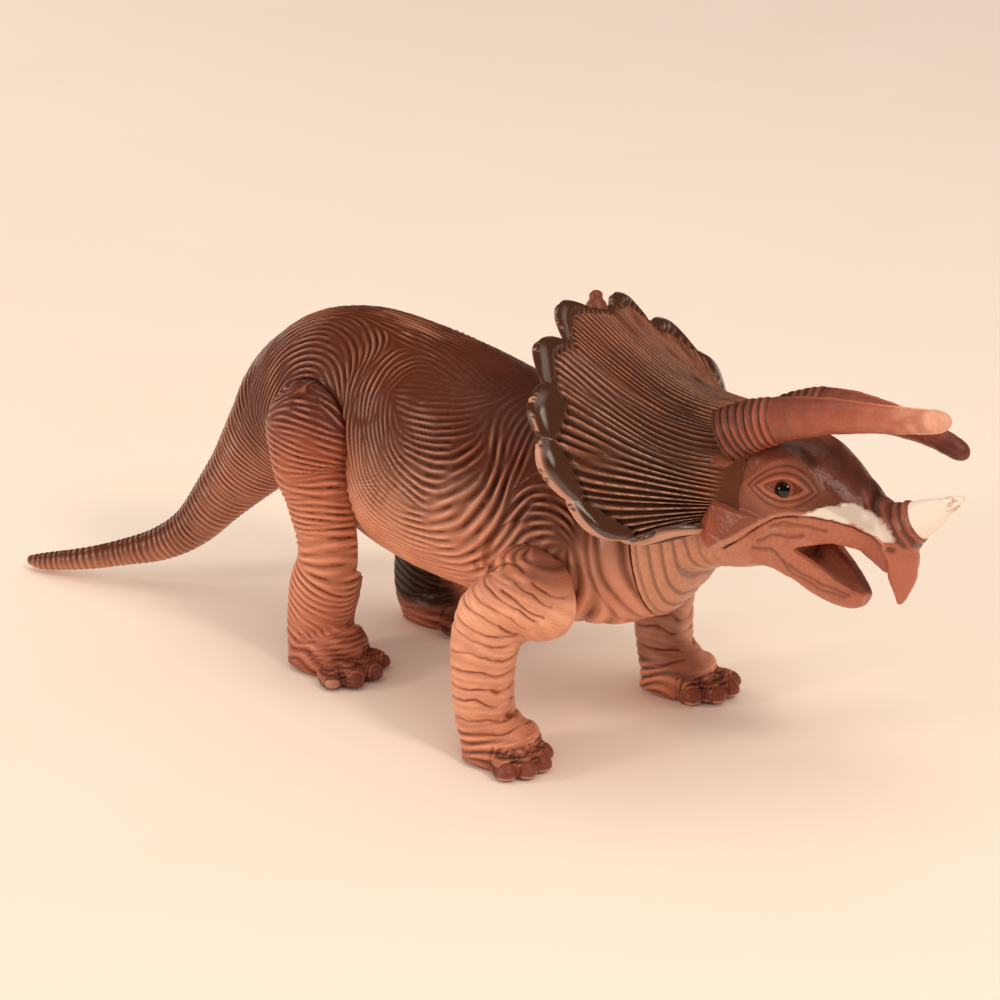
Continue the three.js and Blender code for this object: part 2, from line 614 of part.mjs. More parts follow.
function frill() {
  const count = frillAcross;
  const rim = smoothRows(rimShares, count / 2);
  const root = smoothRows(rootShares, count / 2);
  const mirrored = (rows) => [
    ...rows.slice(1).reverse().map(([v, u, w]) => vec(share(u), -share(v), share(w))),
    ...rows.map(([v, u, w]) => vec(share(u), share(v), share(w))),
  ];
  const rims = mirrored(rim);
  const roots = mirrored(root);
  const middle = (rims.length - 1) / 2;
  const outward = rims.map((p, i) => p.clone().sub(roots[i]).normalize());
  const facing = rims.map((p, i) => {
    const a = rims[Math.max(i - 1, 0)];
    const b = rims[Math.min(i + 1, rims.length - 1)];
    return b.clone().sub(a).cross(outward[i]).normalize();
  });
  if (facing[middle].z < 0) facing.forEach((f) => f.negate());
  const front = [];
  const back = [];
  for (let i = 0; i < rims.length; i += 1) {
    const away = Math.abs(i - middle) / middle;
    const next = Math.max(notchShares.findIndex((notch) => notch > away), 1);
    const [from, to] = [notchShares[next - 1], notchShares[next]];
    const boss = Math.abs(Math.sin(((away - from) / (to - from)) * Math.PI)) ** bossRoundness;
    const tip = rims[i].clone().addScaledVector(outward[i], scallopDepth * (boss - bossLevel));
    const rib = Math.cos((i - middle) * ((2 * Math.PI) / 3)) * ribHeight;
    const base = roots[i].clone().addScaledVector(outward[i], -rootDepth);
    const frontRow = [];
    const backRow = [];
    for (let k = 0; k <= frillOut; k += 1) {
      const t = k / frillOut;
      const dish = -frillDish * Math.sin(Math.PI * t);
      const ribbed = t > 0 && t < ribPlateau ? rib : 0;
      const thick = frillThickness * (1 + (t > ribPlateau ? boss * bossSwell : 0));
      const point = base.clone().lerp(tip, t).addScaledVector(facing[i], dish);
      frontRow.push(point.clone().addScaledVector(facing[i], ribbed + thick / 2));
      backRow.push(point.clone().addScaledVector(facing[i], -thick / 2));
    }
    front.push(frontRow);
    back.push(backRow);
  }
  // each column is one loop: out along the front, back along the back
  const rings = front.map((row, i) => [...row, ...back[i].slice().reverse()]);
  return loftSolid(rings);
}

// A boss at the crown of the frill and the horn of each cheek
const crownNubShares = [-0.285, 0, 0.64];
const crownNubSizeShares = [0.03, 0.026, 0.03];
const cheekShares = [
  [0.2, 0.3, 0.16, 0.05, 0.05, 0.05, 2],
  [0.25, 0.29, 0.12, 0.04, 0.04, 0.04, 2],
  [0.29, 0.275, 0.07, 0.012, 0.012, 0.012, 2],
];

function upperMoulding() {
  const skull = headLoft(skullShares, skullStations, midRound)
    .add(headLoft(beakShares, legHollowStations, coarseRound, 0, xAxis))
    .subtract(sideView(mouthShares))
    .intersect(sideView(aboveSeamShares))
    .subtract(headLoft(skullShares.slice(1, 8), legHollowStations, coarseRound, wall));
  const nub = ball(vec(...crownNubShares.map(share)), vec(...crownNubSizeShares.map(share)), toeRound);
  let head = skull.add(frill()).add(nub).add(noseRoot());
  for (const hand of [right, left]) {
    const rows = cheekShares.map(([u, v, ...rest]) => [u, hand * v, ...rest]);
    head = head.add(loftSolid(alongPath(smoothRows(rows, toeRound), yAxis, toeRound, asIs, 0)));
  }
  return headBody(head).subtract(lowerOutside(fitGap));
}

// Brow horns: curved tubes with folds round the root. Shares: forward, side, up, radius
const hornRightShares = [
  [0.24, -0.18, 0.375, 0.078],
  [0.3, -0.18, 0.415, 0.073],
  [0.37, -0.178, 0.44, 0.066],
  [0.44, -0.172, 0.46, 0.059],
  [0.52, -0.166, 0.477, 0.05],
  [0.62, -0.16, 0.487, 0.042],
  [0.71, -0.152, 0.494, 0.038],
  [0.79, -0.145, 0.504, 0.036],
  [0.845, -0.14, 0.511, 0.024],
];
const hornLeftShares = [
  [0.235, 0.18, 0.365, 0.076],
  [0.29, 0.18, 0.4, 0.071],
  [0.36, 0.178, 0.428, 0.064],
  [0.444, 0.168, 0.44, 0.056],
  [0.535, 0.16, 0.438, 0.049],
  [0.61, 0.154, 0.43, 0.042],
  [0.685, 0.148, 0.414, 0.037],
  [0.75, 0.142, 0.396, 0.034],
  [0.795, 0.14, 0.376, 0.022],
];
const hornStations = 22;
const ringDepth = 0.5;
const hornPegRadius = 4;
const hornPegDepth = 5;

function horn(rows) {
  const smooth = smoothRows(rows, hornStations).map(([u, v, w, r], i) => {
    const fold = i < 2 * hornRings ? (i % 2 ? -ringDepth : 0) / bodySize : 0;
    const size = r + fold;
    return [u, v, w, size, size, size, 2];
  });
  return loftSolid(alongPath(smooth, zAxis, coarseRound, asIs, 0));
}

// A socket seat in the skull: the root of the horn is cut off flat and a peg goes into the skull
function hornSeat(rows) {
  const [u0, v0, w0] = rows[0];
  const [u1, v1, w1] = rows[1];
  const foot = vec(share(u0), share(v0), share(w0));
  const way = vec(share(u1), share(v1), share(w1)).sub(foot).normalize();
  return { foot, way };
}

function browHorn(rows) {
  const { foot, way } = hornSeat(rows);
  const peg = cylinder(hornPegRadius, foot.clone().addScaledVector(way, -hornPegDepth), foot.clone().addScaledVector(way, wall));
  return horn(rows).add(peg);
}

function browSocket(rows) {
  const { foot, way } = hornSeat(rows);
  const grown = rows.map(([u, v, w, r]) => [u, v, w, r + fitGap / bodySize]);
  const back = foot.clone().addScaledVector(way, -hornPegDepth - fitGap);
  const seat = cylinder(share(rows[0][3]) + fitGap, foot.clone().addScaledVector(way, -fitGap), foot.clone().addScaledVector(way, fitGap));
  return { solid: horn(grown).add(seat), peg: cylinder(hornPegRadius + fitGap, back, foot) };
}

// Nose horn: folded vinyl root on the snout, white cone plugged on top
const noseShares = [
  [0.735, 0, 0.215, 0.052],
  [0.765, 0, 0.235, 0.043],
  [0.8, 0, 0.26, 0.028],
  [0.835, 0, 0.284, 0.014],
  [0.85, 0, 0.292, 0.006],
];
const noseRootShares = [
  [0.64, 0, 0.15, 0.078],
  [0.68, 0, 0.18, 0.07],
  [0.705, 0, 0.197, 0.062],
  [0.732, 0, 0.214, 0.055],
];
const nosePegRadius = 2.4;

function noseCone(trim) {
  const rows = smoothRows(noseShares, coarseRound).map(([u, v, w, r]) => {
    const size = r + trim / bodySize;
    return [u, v, w, size, size, size, 2];
  });
  return loftSolid(alongPath(rows, zAxis, coarseRound, asIs, 0));
}

function noseRoot() {
  const rows = smoothRows(noseRootShares, 8).map(([u, v, w, r], i) => {
    const size = r - (i % 2 ? ringDepth : 0) / bodySize;
    return [u, v, w, size, size, size, 2];
  });
  return loftSolid(alongPath(rows, zAxis, coarseRound, asIs, 0));
}

const noseFoot = vec(share(noseShares[0][0]), 0, share(noseShares[0][2]));
const noseWay = vec(share(noseShares[1][0]), 0, share(noseShares[1][2])).sub(noseFoot).normalize();
const nosePeg = (grow) =>
  cylinder(
    nosePegRadius + grow,
    noseFoot.clone().addScaledVector(noseWay, -hornPegDepth - grow),
    noseFoot.clone().addScaledVector(noseWay, wall),
    coarseRound,
  );

// Eyes: black beads pressed into the skull
const eyePlace = [0.408, 0.148, 0.256];
const eyeAt = (hand) => vec(share(eyePlace[0]), hand * share(eyePlace[1]), share(eyePlace[2]));
const eye = (hand, grow) => ball(eyeAt(hand), vec(1, 1, 1).multiplyScalar(eyeRadius + grow), coarseRound);

function headAndFrill() {
  let head = upperMoulding();
  const cuts = [noseCone(fitGap), nosePeg(fitGap), eye(right, fitGap), eye(left, fitGap)];
  for (const rows of [hornRightShares, hornLeftShares]) {
    const { solid, peg } = browSocket(rows);
    cuts.push(solid, peg);
  }
  for (const cut of cuts) head = head.subtract(headBody(cut));
  return head;
}

// Materials of the moulded pieces
const vinyl = (color) => new THREE.MeshStandardMaterial({ color, roughness: 0.42, metalness: 0 });
const brownVinyl = vinyl("#6b3426");
const tanVinyl = vinyl("#b06f54");
const frillVinyl = vinyl("#55291e");
const hornVinyl = vinyl("#6d3a2c");
const whiteVinyl = new THREE.MeshStandardMaterial({ color: "#e9e4dc", roughness: 0.5, metalness: 0 });
const blackGloss = new THREE.MeshStandardMaterial({ color: "#0b0908", roughness: 0.1, metalness: 0 });

const group = new THREE.Group();
function addPiece(name, solid, material) {
  const geometry = geometryOf(largestShell(solid.simplify(sliver)));
  const mesh = new THREE.Mesh(geometry, material);
  mesh.name = name;
  group.add(mesh);
}

const rightForeLeg = foreLeg;
const leftForeLeg = { ...foreLeg, step: stride, inward: tuck };

addPiece("torso_and_tail", torso(), brownVinyl);
addPiece("neck_and_lower_jaw", lowerMoulding(), tanVinyl);
addPiece("head_and_frill", headAndFrill(), frillVinyl);
addPiece("brow_horn_right", headBody(browHorn(hornRightShares)), hornVinyl);
addPiece("brow_horn_left", headBody(browHorn(hornLeftShares)), hornVinyl);
addPiece("nose_horn", headBody(noseCone(0).add(nosePeg(0))), whiteVinyl);
addPiece("eye_right", headBody(eye(right, 0)), blackGloss);
addPiece("eye_left", headBody(eye(left, 0)), blackGloss);
addPiece("foreleg_right", legSolid(rightForeLeg, right), tanVinyl);
addPiece("foreleg_left", legSolid(leftForeLeg, left), tanVinyl);
addPiece("hindleg_right", legSolid(hindLeg, right), tanVinyl);
addPiece("hindleg_left", legSolid(hindLeg, left), tanVinyl);

// The figure stands on the floor, centred on the origin
const stand = new THREE.Box3().setFromObject(group);
const middle = stand.getCenter(vec(0, 0, 0));
group.position.set(-middle.x, -middle.y, -stand.min.z);

export default group;
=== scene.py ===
import json

import bmesh
import bpy
import numpy as np
from mathutils import Matrix, Vector


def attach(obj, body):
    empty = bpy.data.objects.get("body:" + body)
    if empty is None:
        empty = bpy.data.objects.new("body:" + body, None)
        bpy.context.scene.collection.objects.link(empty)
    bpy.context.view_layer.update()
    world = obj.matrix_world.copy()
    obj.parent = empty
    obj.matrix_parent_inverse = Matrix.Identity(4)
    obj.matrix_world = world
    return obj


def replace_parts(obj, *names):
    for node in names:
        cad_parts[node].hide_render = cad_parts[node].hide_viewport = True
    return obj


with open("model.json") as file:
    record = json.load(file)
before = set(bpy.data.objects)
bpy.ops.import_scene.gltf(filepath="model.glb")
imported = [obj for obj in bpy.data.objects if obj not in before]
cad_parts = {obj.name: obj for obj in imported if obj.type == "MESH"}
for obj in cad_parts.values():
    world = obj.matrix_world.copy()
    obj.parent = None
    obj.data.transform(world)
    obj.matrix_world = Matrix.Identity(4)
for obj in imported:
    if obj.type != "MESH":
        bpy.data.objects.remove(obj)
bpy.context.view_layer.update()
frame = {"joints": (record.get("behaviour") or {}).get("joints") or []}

MM = 0.001

# Camera
# A portrait lens stands where the photograph was taken from: to the animal's front right, a little above it
# Its distance in metres was fitted to the four feet, the tail and the horns
LENS, DISTANCE = 126.0, 1.061
focus = Vector((-29.85, 43.26, 32.5)) * MM
back = Vector((0.6247, -0.6938, 0.3584)).normalized()
sideways = Vector((0.7431, 0.6691, 0.0)).normalized()
camera_data = bpy.data.cameras.new("camera")
camera_data.sensor_width = 36.0
camera_data.lens = LENS
camera_data.clip_start, camera_data.clip_end = 0.05, 50.0
camera = bpy.data.objects.new("camera", camera_data)
bpy.context.scene.collection.objects.link(camera)
turn = Matrix((sideways, back.cross(sideways), back)).transposed()
camera.matrix_world = Matrix.Translation(focus + back * DISTANCE) @ turn.to_4x4()
bpy.context.scene.camera = camera
bpy.context.scene.view_settings.view_transform = "Standard"


# Stage
# A wide flat sheet of pale cream paper lies in an evenly bright room
# One broad lamp hangs above it, and three small ones stand where the skins mirror them to the camera


# Colours are written as on a screen and changed to the renderer's linear values here
def colour(text):
    values = [int(text[i : i + 2], 16) / 255 for i in (1, 3, 5)]
    linear = [v / 12.92 if v <= 0.04045 else ((v + 0.055) / 1.055) ** 2.4 for v in values]
    return (*linear, 1.0)


# A material with its tree and its surface node
def new_material(name):
    material = bpy.data.materials.new(name)
    material.use_nodes = True
    tree = material.node_tree
    return material, tree, tree.nodes["Principled BSDF"]


# One node with its settings and what feeds its inputs, each by its name or as i and its number
def add(tree, kind, settings=None, **inputs):
    node = tree.nodes.new(kind)
    for key, value in (settings or {}).items():
        setattr(node, key, value)
    for key, value in inputs.items():
        feed(tree, node.inputs[int(key[1:]) if key[1:].isdigit() else key.replace("_", " ")], value)
    return node


# A link into an input, or a plain value
def feed(tree, socket, value):
    if isinstance(value, bpy.types.NodeSocket):
        tree.links.new(value, socket)
    else:
        socket.default_value = value


paper, tree, shader = new_material("cream_paper")
# even and matt, so that it only shows the soft contact shadows
# clouds of 100 mm, far coarser than a sheet's own grain, which is too fine to show, just break up its tone
PAPER_SIZE, CLOUD = 6.0, 0.1
clouds = add(tree, "ShaderNodeTexNoise", Scale=PAPER_SIZE / CLOUD, Detail=3.0)
pale_pair = {"i6": colour("#fbeada"), "i7": colour("#fef0e2")}
tone = add(tree, "ShaderNodeMix", {"data_type": "RGBA"}, i0=clouds.outputs[0], **pale_pair)
feed(tree, shader.inputs["Base Color"], tone.outputs[2])
shader.inputs["Roughness"].default_value = 0.9
shader.inputs["Specular IOR Level"].default_value = 0.15
bpy.ops.mesh.primitive_plane_add(size=PAPER_SIZE, location=(0, 0, 0))
floor = bpy.context.object
floor.name = "paper_floor"
floor.data.materials.append(paper)

world = bpy.data.worlds.new("room")
bpy.context.scene.world = world
world.use_nodes = True
room = world.node_tree
ray = add(room, "ShaderNodeLightPath")
# shiny vinyl mirrors a dim room, so that only the lamps make highlights on it
glossy, seen = ray.outputs["Is Glossy Ray"], ray.outputs["Is Camera Ray"]
lit_room, dim_room, backdrop = colour("#f3ebe3"), colour("#4a3d35"), colour("#fde8d2")
walls = add(room, "ShaderNodeMix", {"data_type": "RGBA"}, i0=glossy, i6=lit_room, i7=dim_room)
air = add(room, "ShaderNodeMix", {"data_type": "RGBA"}, i0=seen, i6=walls.outputs[2], i7=backdrop)
feed(room, room.nodes["Background"].inputs["Color"], air.outputs[2])
feed(room, room.nodes["Background"].inputs["Strength"], 0.78)


# A square lamp that looks at the animal
def lamp(name, place, side, power, tint):
    data = bpy.data.lights.new(name, "AREA")
    data.shape = "RECTANGLE"
    data.size, data.size_y = side, side
    data.energy = power
    data.color = colour(tint)[:3]
    item = bpy.data.objects.new(name, data)
    bpy.context.scene.collection.objects.link(item)
    item.location = place
    item.rotation_mode = "QUATERNION"
    item.rotation_quaternion = (item.location - Vector((0, 0, 0.05))).to_track_quat("Z", "Y")


# the small lamps are mirrored by the flank, by the frill and by the rump and tail
lamp("ceiling_light", (0.1, 0.05, 1.2), 0.8, 2.3, "#fff2e2")
lamp("window_light", (-0.62, -0.99, 0.38), 0.2, 4.2, "#ffeedc")
lamp("bulb_ahead", (0.8, -0.12, 0.78), 0.18, 3.0, "#fff0df")
lamp("light_behind_the_tail", (-1.2, 0.15, 0.32), 0.2, 1.2, "#fff0df")

# Torso and tail
# One blown shell of brown vinyl from the neck ring to the tail tip, with a seat for each leg in its flanks
# Its skin carries moulded folds: arches over the thighs, smiling folds on the ribs, rings round the tail
# Shares of 100 mm: along, across, height, half width, half height above and below, squareness, or one radius
SIZE = 100.0
torso_shares = [
    [1.08, 0.035, 0.612, 0.203],
    [0.996, 0.007, 0.599, 0.212],
    [0.94, 0.003, 0.588, 0.228, 0.222, 0.226, 2],
    [0.88, 0.002, 0.58, 0.252, 0.24, 0.248, 2.25],
    [0.78, 0, 0.588, 0.276, 0.262, 0.27, 2.4],
    [0.65, 0, 0.602, 0.288, 0.286, 0.29, 2.3],
    [0.5, 0, 0.622, 0.325, 0.298, 0.304, 2.1],
    [0.35, 0, 0.64, 0.325, 0.322, 0.318, 2.1],
    [0.2, 0, 0.66, 0.29, 0.335, 0.328, 2.2],
    [0.05, 0, 0.683, 0.245, 0.335, 0.325, 2.3],
    [-0.11, 0, 0.705, 0.222, 0.315, 0.29, 2.3],
    [-0.26, 0, 0.69, 0.2, 0.275, 0.245, 2.15],
    [-0.385, -0.005, 0.645, 0.168, 0.205, 0.195, 2],
    [-0.48, -0.015, 0.56, 0.142, 0.142, 0.165, 2],
    [-0.565, -0.03, 0.447, 0.118, 0.112, 0.12, 2],
    [-0.653, -0.06, 0.332, 0.088],
    [-0.749, -0.1, 0.211, 0.066],
    [-0.84, -0.15, 0.143, 0.053],
    [-0.947, -0.21, 0.102, 0.041],
    [-1.061, -0.27, 0.068, 0.034],
    [-1.2, -0.32, 0.036, 0.026],
    [-1.255, -0.333, 0.03, 0.014],
]
# rings from the neck to the tail tip, points in a ring, and rings before the coarser part of the tail
STATIONS, AROUND, BODY_STATIONS = 640, 420, 380
HIP, SHOULDER = (-11.0, 70.0), (78.5, 50.0)
HIP_PAD, SHOULDER_PAD = 20.75, 27.0
neck_centre = np.array([99.6, 0.7, 59.9])
neck_forward = np.array([0.92541, 0.33682, 0.17365])
# The tables are written about the middle of the hind feet, and the frame about the middle of its box
hip = next(j for j in frame["joints"] if j["name"] == "hip_swivel_right")
SHIFT = np.array(hip["pos_m"]) / MM - np.array([HIP[0], -20.8, HIP[1]])
X_AXIS, Z_AXIS = np.array([1.0, 0, 0]), np.array([0, 0, 1.0])


def unit(v):
    return v / np.maximum(np.linalg.norm(v, axis=-1, keepdims=True), 1e-9)


def ease(low, high, x):
    t = np.clip((x - low) / (high - low), 0, 1)
    return t * t * (3 - 2 * t)


def bell(x, width):
    return np.exp(-((x / width) ** 2))


# Way gone along a line of points at each of them
def travelled(points):
    return np.concatenate([[0], np.cumsum(np.linalg.norm(np.diff(points, axis=0), axis=1))])


# A table of shares as numbers, in which a row with one radius is round
def filled(shares):
    return np.array([[*r, r[3], r[3], 2] if len(r) == 4 else r for r in shares], float)


# Smooth curve through the rows of a table, at fractional row numbers
def between(rows, place):
    last = len(rows) - 1
    k = np.minimum(place.astype(int), last - 1)
    t = (place - k)[:, None]
    a, b, c, d = (rows[np.clip(k + i, 0, last)] for i in (-1, 0, 1, 2))
    return (2 * b + (c - a) * t + (2 * a - 5 * b + 4 * c - d) * t**2 + (3 * b - a - 3 * c + d) * t**3) / 2


# Rows on that curve at equal steps along the path
def smooth_rows(shares, count):
    rows = filled(shares)
    dense = np.linspace(0, len(rows) - 1, 60 * (len(rows) - 1) + 1)
    run = travelled(between(rows, dense)[:, :3])
    return between(rows, np.interp(np.linspace(0, run[-1], count), run, dense))


# Rings of points round a path, in millimetres
def rings(rows, hint, around, grow=0.0):
    centre = rows[:, :3] * SIZE
    along = unit(np.gradient(centre, axis=0))
    side = unit(np.cross(hint, along))
    up = np.cross(along, side)
    angle = np.arange(around) / around * 2 * np.pi
    power = 2 / rows[:, 6:7]
    across = np.sign(np.cos(angle)) * np.abs(np.cos(angle)) ** power
    high = np.sign(np.sin(angle)) * np.abs(np.sin(angle)) ** power
    size = np.maximum(rows[:, 3:6] * SIZE + grow, 0.3)
    lift = np.where(high > 0, size[:, 1:2] * high, size[:, 2:3] * high)
    wide = size[:, 0:1] * across
    return centre[:, None] + side[:, None] * wide[..., None] + up[:, None] * lift[..., None], centre


# Faces where a fine ring meets one with half as many points
def step_faces(fine, coarse, around):
    a, b = np.arange(0, around, 2), np.arange(around // 2)
    left, after = fine + (a + 2) % around, coarse + (b + 1) % (around // 2)
    faces = [[fine + i, fine + i + 1, coarse + j] for i, j in zip(a, b)]
    return faces + [[fine + i + 1, k, n, coarse + j] for i, j, k, n in zip(a, b, left, after)]


# Faces between rings of points
def grid_faces(count, around):
    i, j = np.meshgrid(np.arange(count - 1), np.arange(around), indexing="ij")
    a, b = i * around + j, i * around + (j + 1) % around
    return np.stack([a, b, b + around, a + around], -1).reshape(-1, 4)


# Directions in which such rings face at their points
def grid_normals(points):
    padded = np.concatenate([points[:, -1:], points, points[:, :1]], 1)
    across = (padded[:, 2:] - padded[:, :-2]) / 2
    along = np.gradient(points, axis=0)
    return unit(np.cross(across, along))


# A mesh object from points in millimetres in the table's own frame
def mesh_object(name, points, faces, material):
    mesh = bpy.data.meshes.new(name)
    mesh.from_pydata(((points + SHIFT) * MM).tolist(), [], [*map(list, faces)])
    # every face is turned to look outwards
    body = bmesh.new()
    body.from_mesh(mesh)
    bmesh.ops.recalc_face_normals(body, faces=body.faces)
    body.to_mesh(mesh)
    body.free()
    mesh.update()
    mesh.polygons.foreach_set("use_smooth", [True] * len(mesh.polygons))
    mesh.materials.append(material)
    item = bpy.data.objects.new(name, mesh)
    bpy.context.scene.collection.objects.link(item)
    return item


# One value or colour for every point of a mesh
def paint(item, name, values):
    layer = item.data.attributes.new(name, "FLOAT_COLOR", "POINT")
    full = np.ones((len(values), 4), np.float32)
    full[:, : values.shape[1]] = values
    layer.data.foreach_set("color", full.ravel())


# Moulded folds: noise is drawn out into lines along a direction field until they join and fork like real skin
# size of a chart's squares in millimetres, and number of directions that lines are drawn out in
STEP, BEARINGS = 0.4, 12
# how loosely the filters hold to their spacing and to their direction, and the step between their sizes
ACROSS, ALONG, SIZE_STEP = 0.22, 0.13, 0.16
# how smoothly the guide strokes' directions pass into each other, and how coarsely they are worked out
FALL_OFF, COARSE = 1.6, 5


# Waves per millimetre down and along a chart
def frequencies(shape):
    return np.meshgrid(np.fft.fftfreq(shape[0], STEP), np.fft.rfftfreq(shape[1], STEP), indexing="ij")


# Height of the folds all over a chart, about -1 in a groove and 1 on a crest
def folds(angle, spacing, seed, rounds=7, loose=1.0):
    rng = np.random.default_rng(seed)
    shape = angle.shape
    fy, fx = frequencies(shape)
    narrow, wide = spacing.min(), spacing.max()
    sizes = np.geomspace(narrow, wide, 1 + int(np.ceil(np.log(wide / narrow) / SIZE_STEP)))
    place = np.zeros(shape)
    if len(sizes) > 1:
        place = np.interp(np.log(spacing), np.log(sizes), np.arange(len(sizes)))
    bearing = (angle % np.pi) / np.pi * BEARINGS
    field = rng.standard_normal(shape)
    kernels = []
    for n, size in enumerate(sizes):
        for b in range(BEARINGS):
            t = b * np.pi / BEARINGS
            run, cross = fx * np.cos(t) + fy * np.sin(t), -fx * np.sin(t) + fy * np.cos(t)
            peak = 1 / size
            off_peak = (np.abs(cross) - peak) ** 2 / (2 * (ACROSS * loose * peak) ** 2)
            lobe = np.exp(-off_peak - run**2 / (2 * (ALONG * loose * peak) ** 2))
            off = np.abs((bearing - b + BEARINGS / 2) % BEARINGS - BEARINGS / 2)
            weight = np.clip(1 - off, 0, 1) * np.clip(1 - np.abs(place - n), 0, 1)
            kernels.append((lobe, weight))
    for _ in range(rounds):
        spectrum = np.fft.rfft2(field)
        drawn = sum(weight * np.fft.irfft2(spectrum * lobe, shape) for lobe, weight in kernels)
        wave = drawn / (drawn.std() + 1e-9)
        field = np.tanh(1.6 * wave)
    return np.clip(wave / 1.4, -1.2, 1.2)


# Direction field from guide strokes: every stroke pulls the folds near it along itself
def bearing_field(shape, strokes):
    gy, gx = np.meshgrid(*(np.arange(0, n + COARSE, COARSE) * STEP for n in shape), indexing="ij")
    total = np.zeros(gy.shape, complex)
    for stroke in strokes:
        stroke = np.array(stroke)
        steps = np.diff(stroke, axis=0)
        count = np.maximum((np.linalg.norm(steps, axis=1) / 2.0).astype(int), 1)
        for (y, x), (dy, dx), n in zip(stroke, steps, count):
            for t in (np.arange(n) + 0.5) / n:
                near = (gy - y - dy * t) ** 2 + (gx - x - dx * t) ** 2 + 1.0
                total += np.exp(2j * np.arctan2(dy, dx)) / near**FALL_OFF
    ys, xs = np.meshgrid(*(np.arange(n) / COARSE for n in shape), indexing="ij")
    return np.angle(sample(total / np.maximum(np.abs(total), 1e-12), ys, xs)) / 2


# Value of a grid at fractional places
def sample(grid, y, x):
    y, x = np.clip(y, 0, grid.shape[0] - 1.001), np.clip(x, 0, grid.shape[1] - 1.001)
    i, j = y.astype(int), x.astype(int)
    v, u = y - i, x - j
    near, far = (grid[i + k, j] * (1 - u) + grid[i + k, j + 1] * u for k in (0, 1))
    return near * (1 - v) + far * v


# Smooth random values between 0 and 1 with lumps of one size
def lumps(shape, size, seed):
    fy, fx = frequencies(shape)
    noise = np.random.default_rng(seed).standard_normal(shape)
    field = np.fft.irfft2(np.fft.rfft2(noise) * np.exp(-(fy**2 + fx**2) * size**2 * 4), shape)
    return 0.5 + 0.5 * np.clip(field / (2 * field.std()), -1, 1)


rows = smooth_rows(torso_shares, STATIONS)
skin, spine = rings(rows, Z_AXIS, AROUND)
run = travelled(spine)
# the chart: along the spine, and round from the middle of the back, right side positive
top = AROUND // 4
sides = np.linalg.norm(np.roll(skin, -1, 1) - skin, axis=2)
order = (top - 1 - np.arange(AROUND)) % AROUND
down = np.cumsum(np.take(sides, order, axis=1), axis=1)
round_run = np.zeros_like(sides)
round_run[:, order] = down
girth = down[:, -1:]
round_run[:, top] = 0
round_run = np.where(round_run > girth / 2, round_run - girth, round_run)
# half width of the chart, which holds half the girth
HALF = 110.0
chart_shape = (int(run[-1] / STEP) + 2, int(2 * HALF / STEP) + 2)
chart_y, chart_x = np.broadcast_to(run[:, None] / STEP, sides.shape), (round_run + HALF) / STEP

# Guide strokes on the flank in side view, in millimetres: along, height
flank_strokes = [
    # arch over the thigh
    [(-42, 71), (-37, 82), (-31, 89), (-24, 95), (-15, 99), (-5, 98), (2, 94), (4, 89)],
    [(-34, 72), (-31, 79), (-25, 87), (-15, 92), (-7, 93), (-1, 90), (2, 86)],
    [(-40, 66), (-37, 76), (-33, 85), (-25, 93), (-16, 97)],
    [(-38, 88), (-28, 96), (-19, 100), (-11, 102)],
    # fan in front of the hip
    [(-9, 101), (0, 100), (4, 97), (5, 92), (4, 88)],
    [(-2, 101), (6, 99), (9, 95), (7, 90), (6, 86)],
    # curves behind the ribs
    [(21, 97), (17, 94), (15, 88), (16, 80), (20, 74), (26, 69), (37, 66)],
    [(13, 97), (10, 93), (9, 86), (10, 79), (12, 71), (15, 64), (23, 60), (34, 58), (46, 59)],
    [(7, 85), (7, 78), (9, 70), (11, 62), (15, 57), (21, 53), (32, 53)],
    [(20, 94), (18, 88), (20, 82), (24, 75), (32, 70)],
    [(12, 58), (19, 55), (28, 54), (39, 54), (53, 55), (60, 58)],
    # smiling folds of the flank
    [(35, 82), (42, 82), (48, 83), (51, 84)],
    [(37, 78), (43, 77), (50, 79), (53, 82)],
    [(36, 75), (43, 74), (50, 75), (56, 78), (59, 81)],
    [(35, 73), (42, 71), (50, 71), (57, 74), (60, 79)],
    [(30, 70), (38, 66), (46, 64), (53, 68), (61, 74)],
    [(46, 61), (52, 64), (58, 69), (63, 74)],
    [(47, 53), (54, 56), (61, 60), (66, 66), (68, 71)],
    # folds behind the shoulder
    [(55, 91), (55, 89), (59, 84), (63, 78), (62, 69), (57, 61)],
    [(59, 90), (62, 86), (65, 80), (65, 73), (64, 65), (61, 59), (54, 55)],
    [(65, 88), (68, 83), (69, 77), (68, 69), (66, 62), (59, 55)],
    # arcs round the shoulder
    [(70, 61), (72, 66), (76, 72), (82, 73), (87, 70)],
    [(68, 56), (72, 62), (79, 67), (86, 68), (91, 63), (94, 56), (94, 48)],
    [(70, 68), (73, 73), (78, 76), (84, 74)],
    # chest
    [(98, 61), (98, 53), (94, 42)],
    [(102, 61), (102, 53), (97, 41)],
    # back
    [(-3, 102), (13, 101), (29, 98), (43, 94)],
    [(14, 101), (28, 99), (45, 94)],
    [(22, 90), (34, 90), (43, 91), (48, 92)],
]
strokes = []
for sign in (1, -1):
    half = (sign * round_run > 0) & (sign * round_run < girth / 2)
    where = np.argwhere(half)
    seen_from_side = skin[half][:, [0, 2]]
    for stroke in flank_strokes:
        near = [where[np.argmin(((seen_from_side - p) ** 2).sum(1))] for p in stroke]
        strokes.append([(run[i], round_run[i, j] + HALF) for i, j in near])
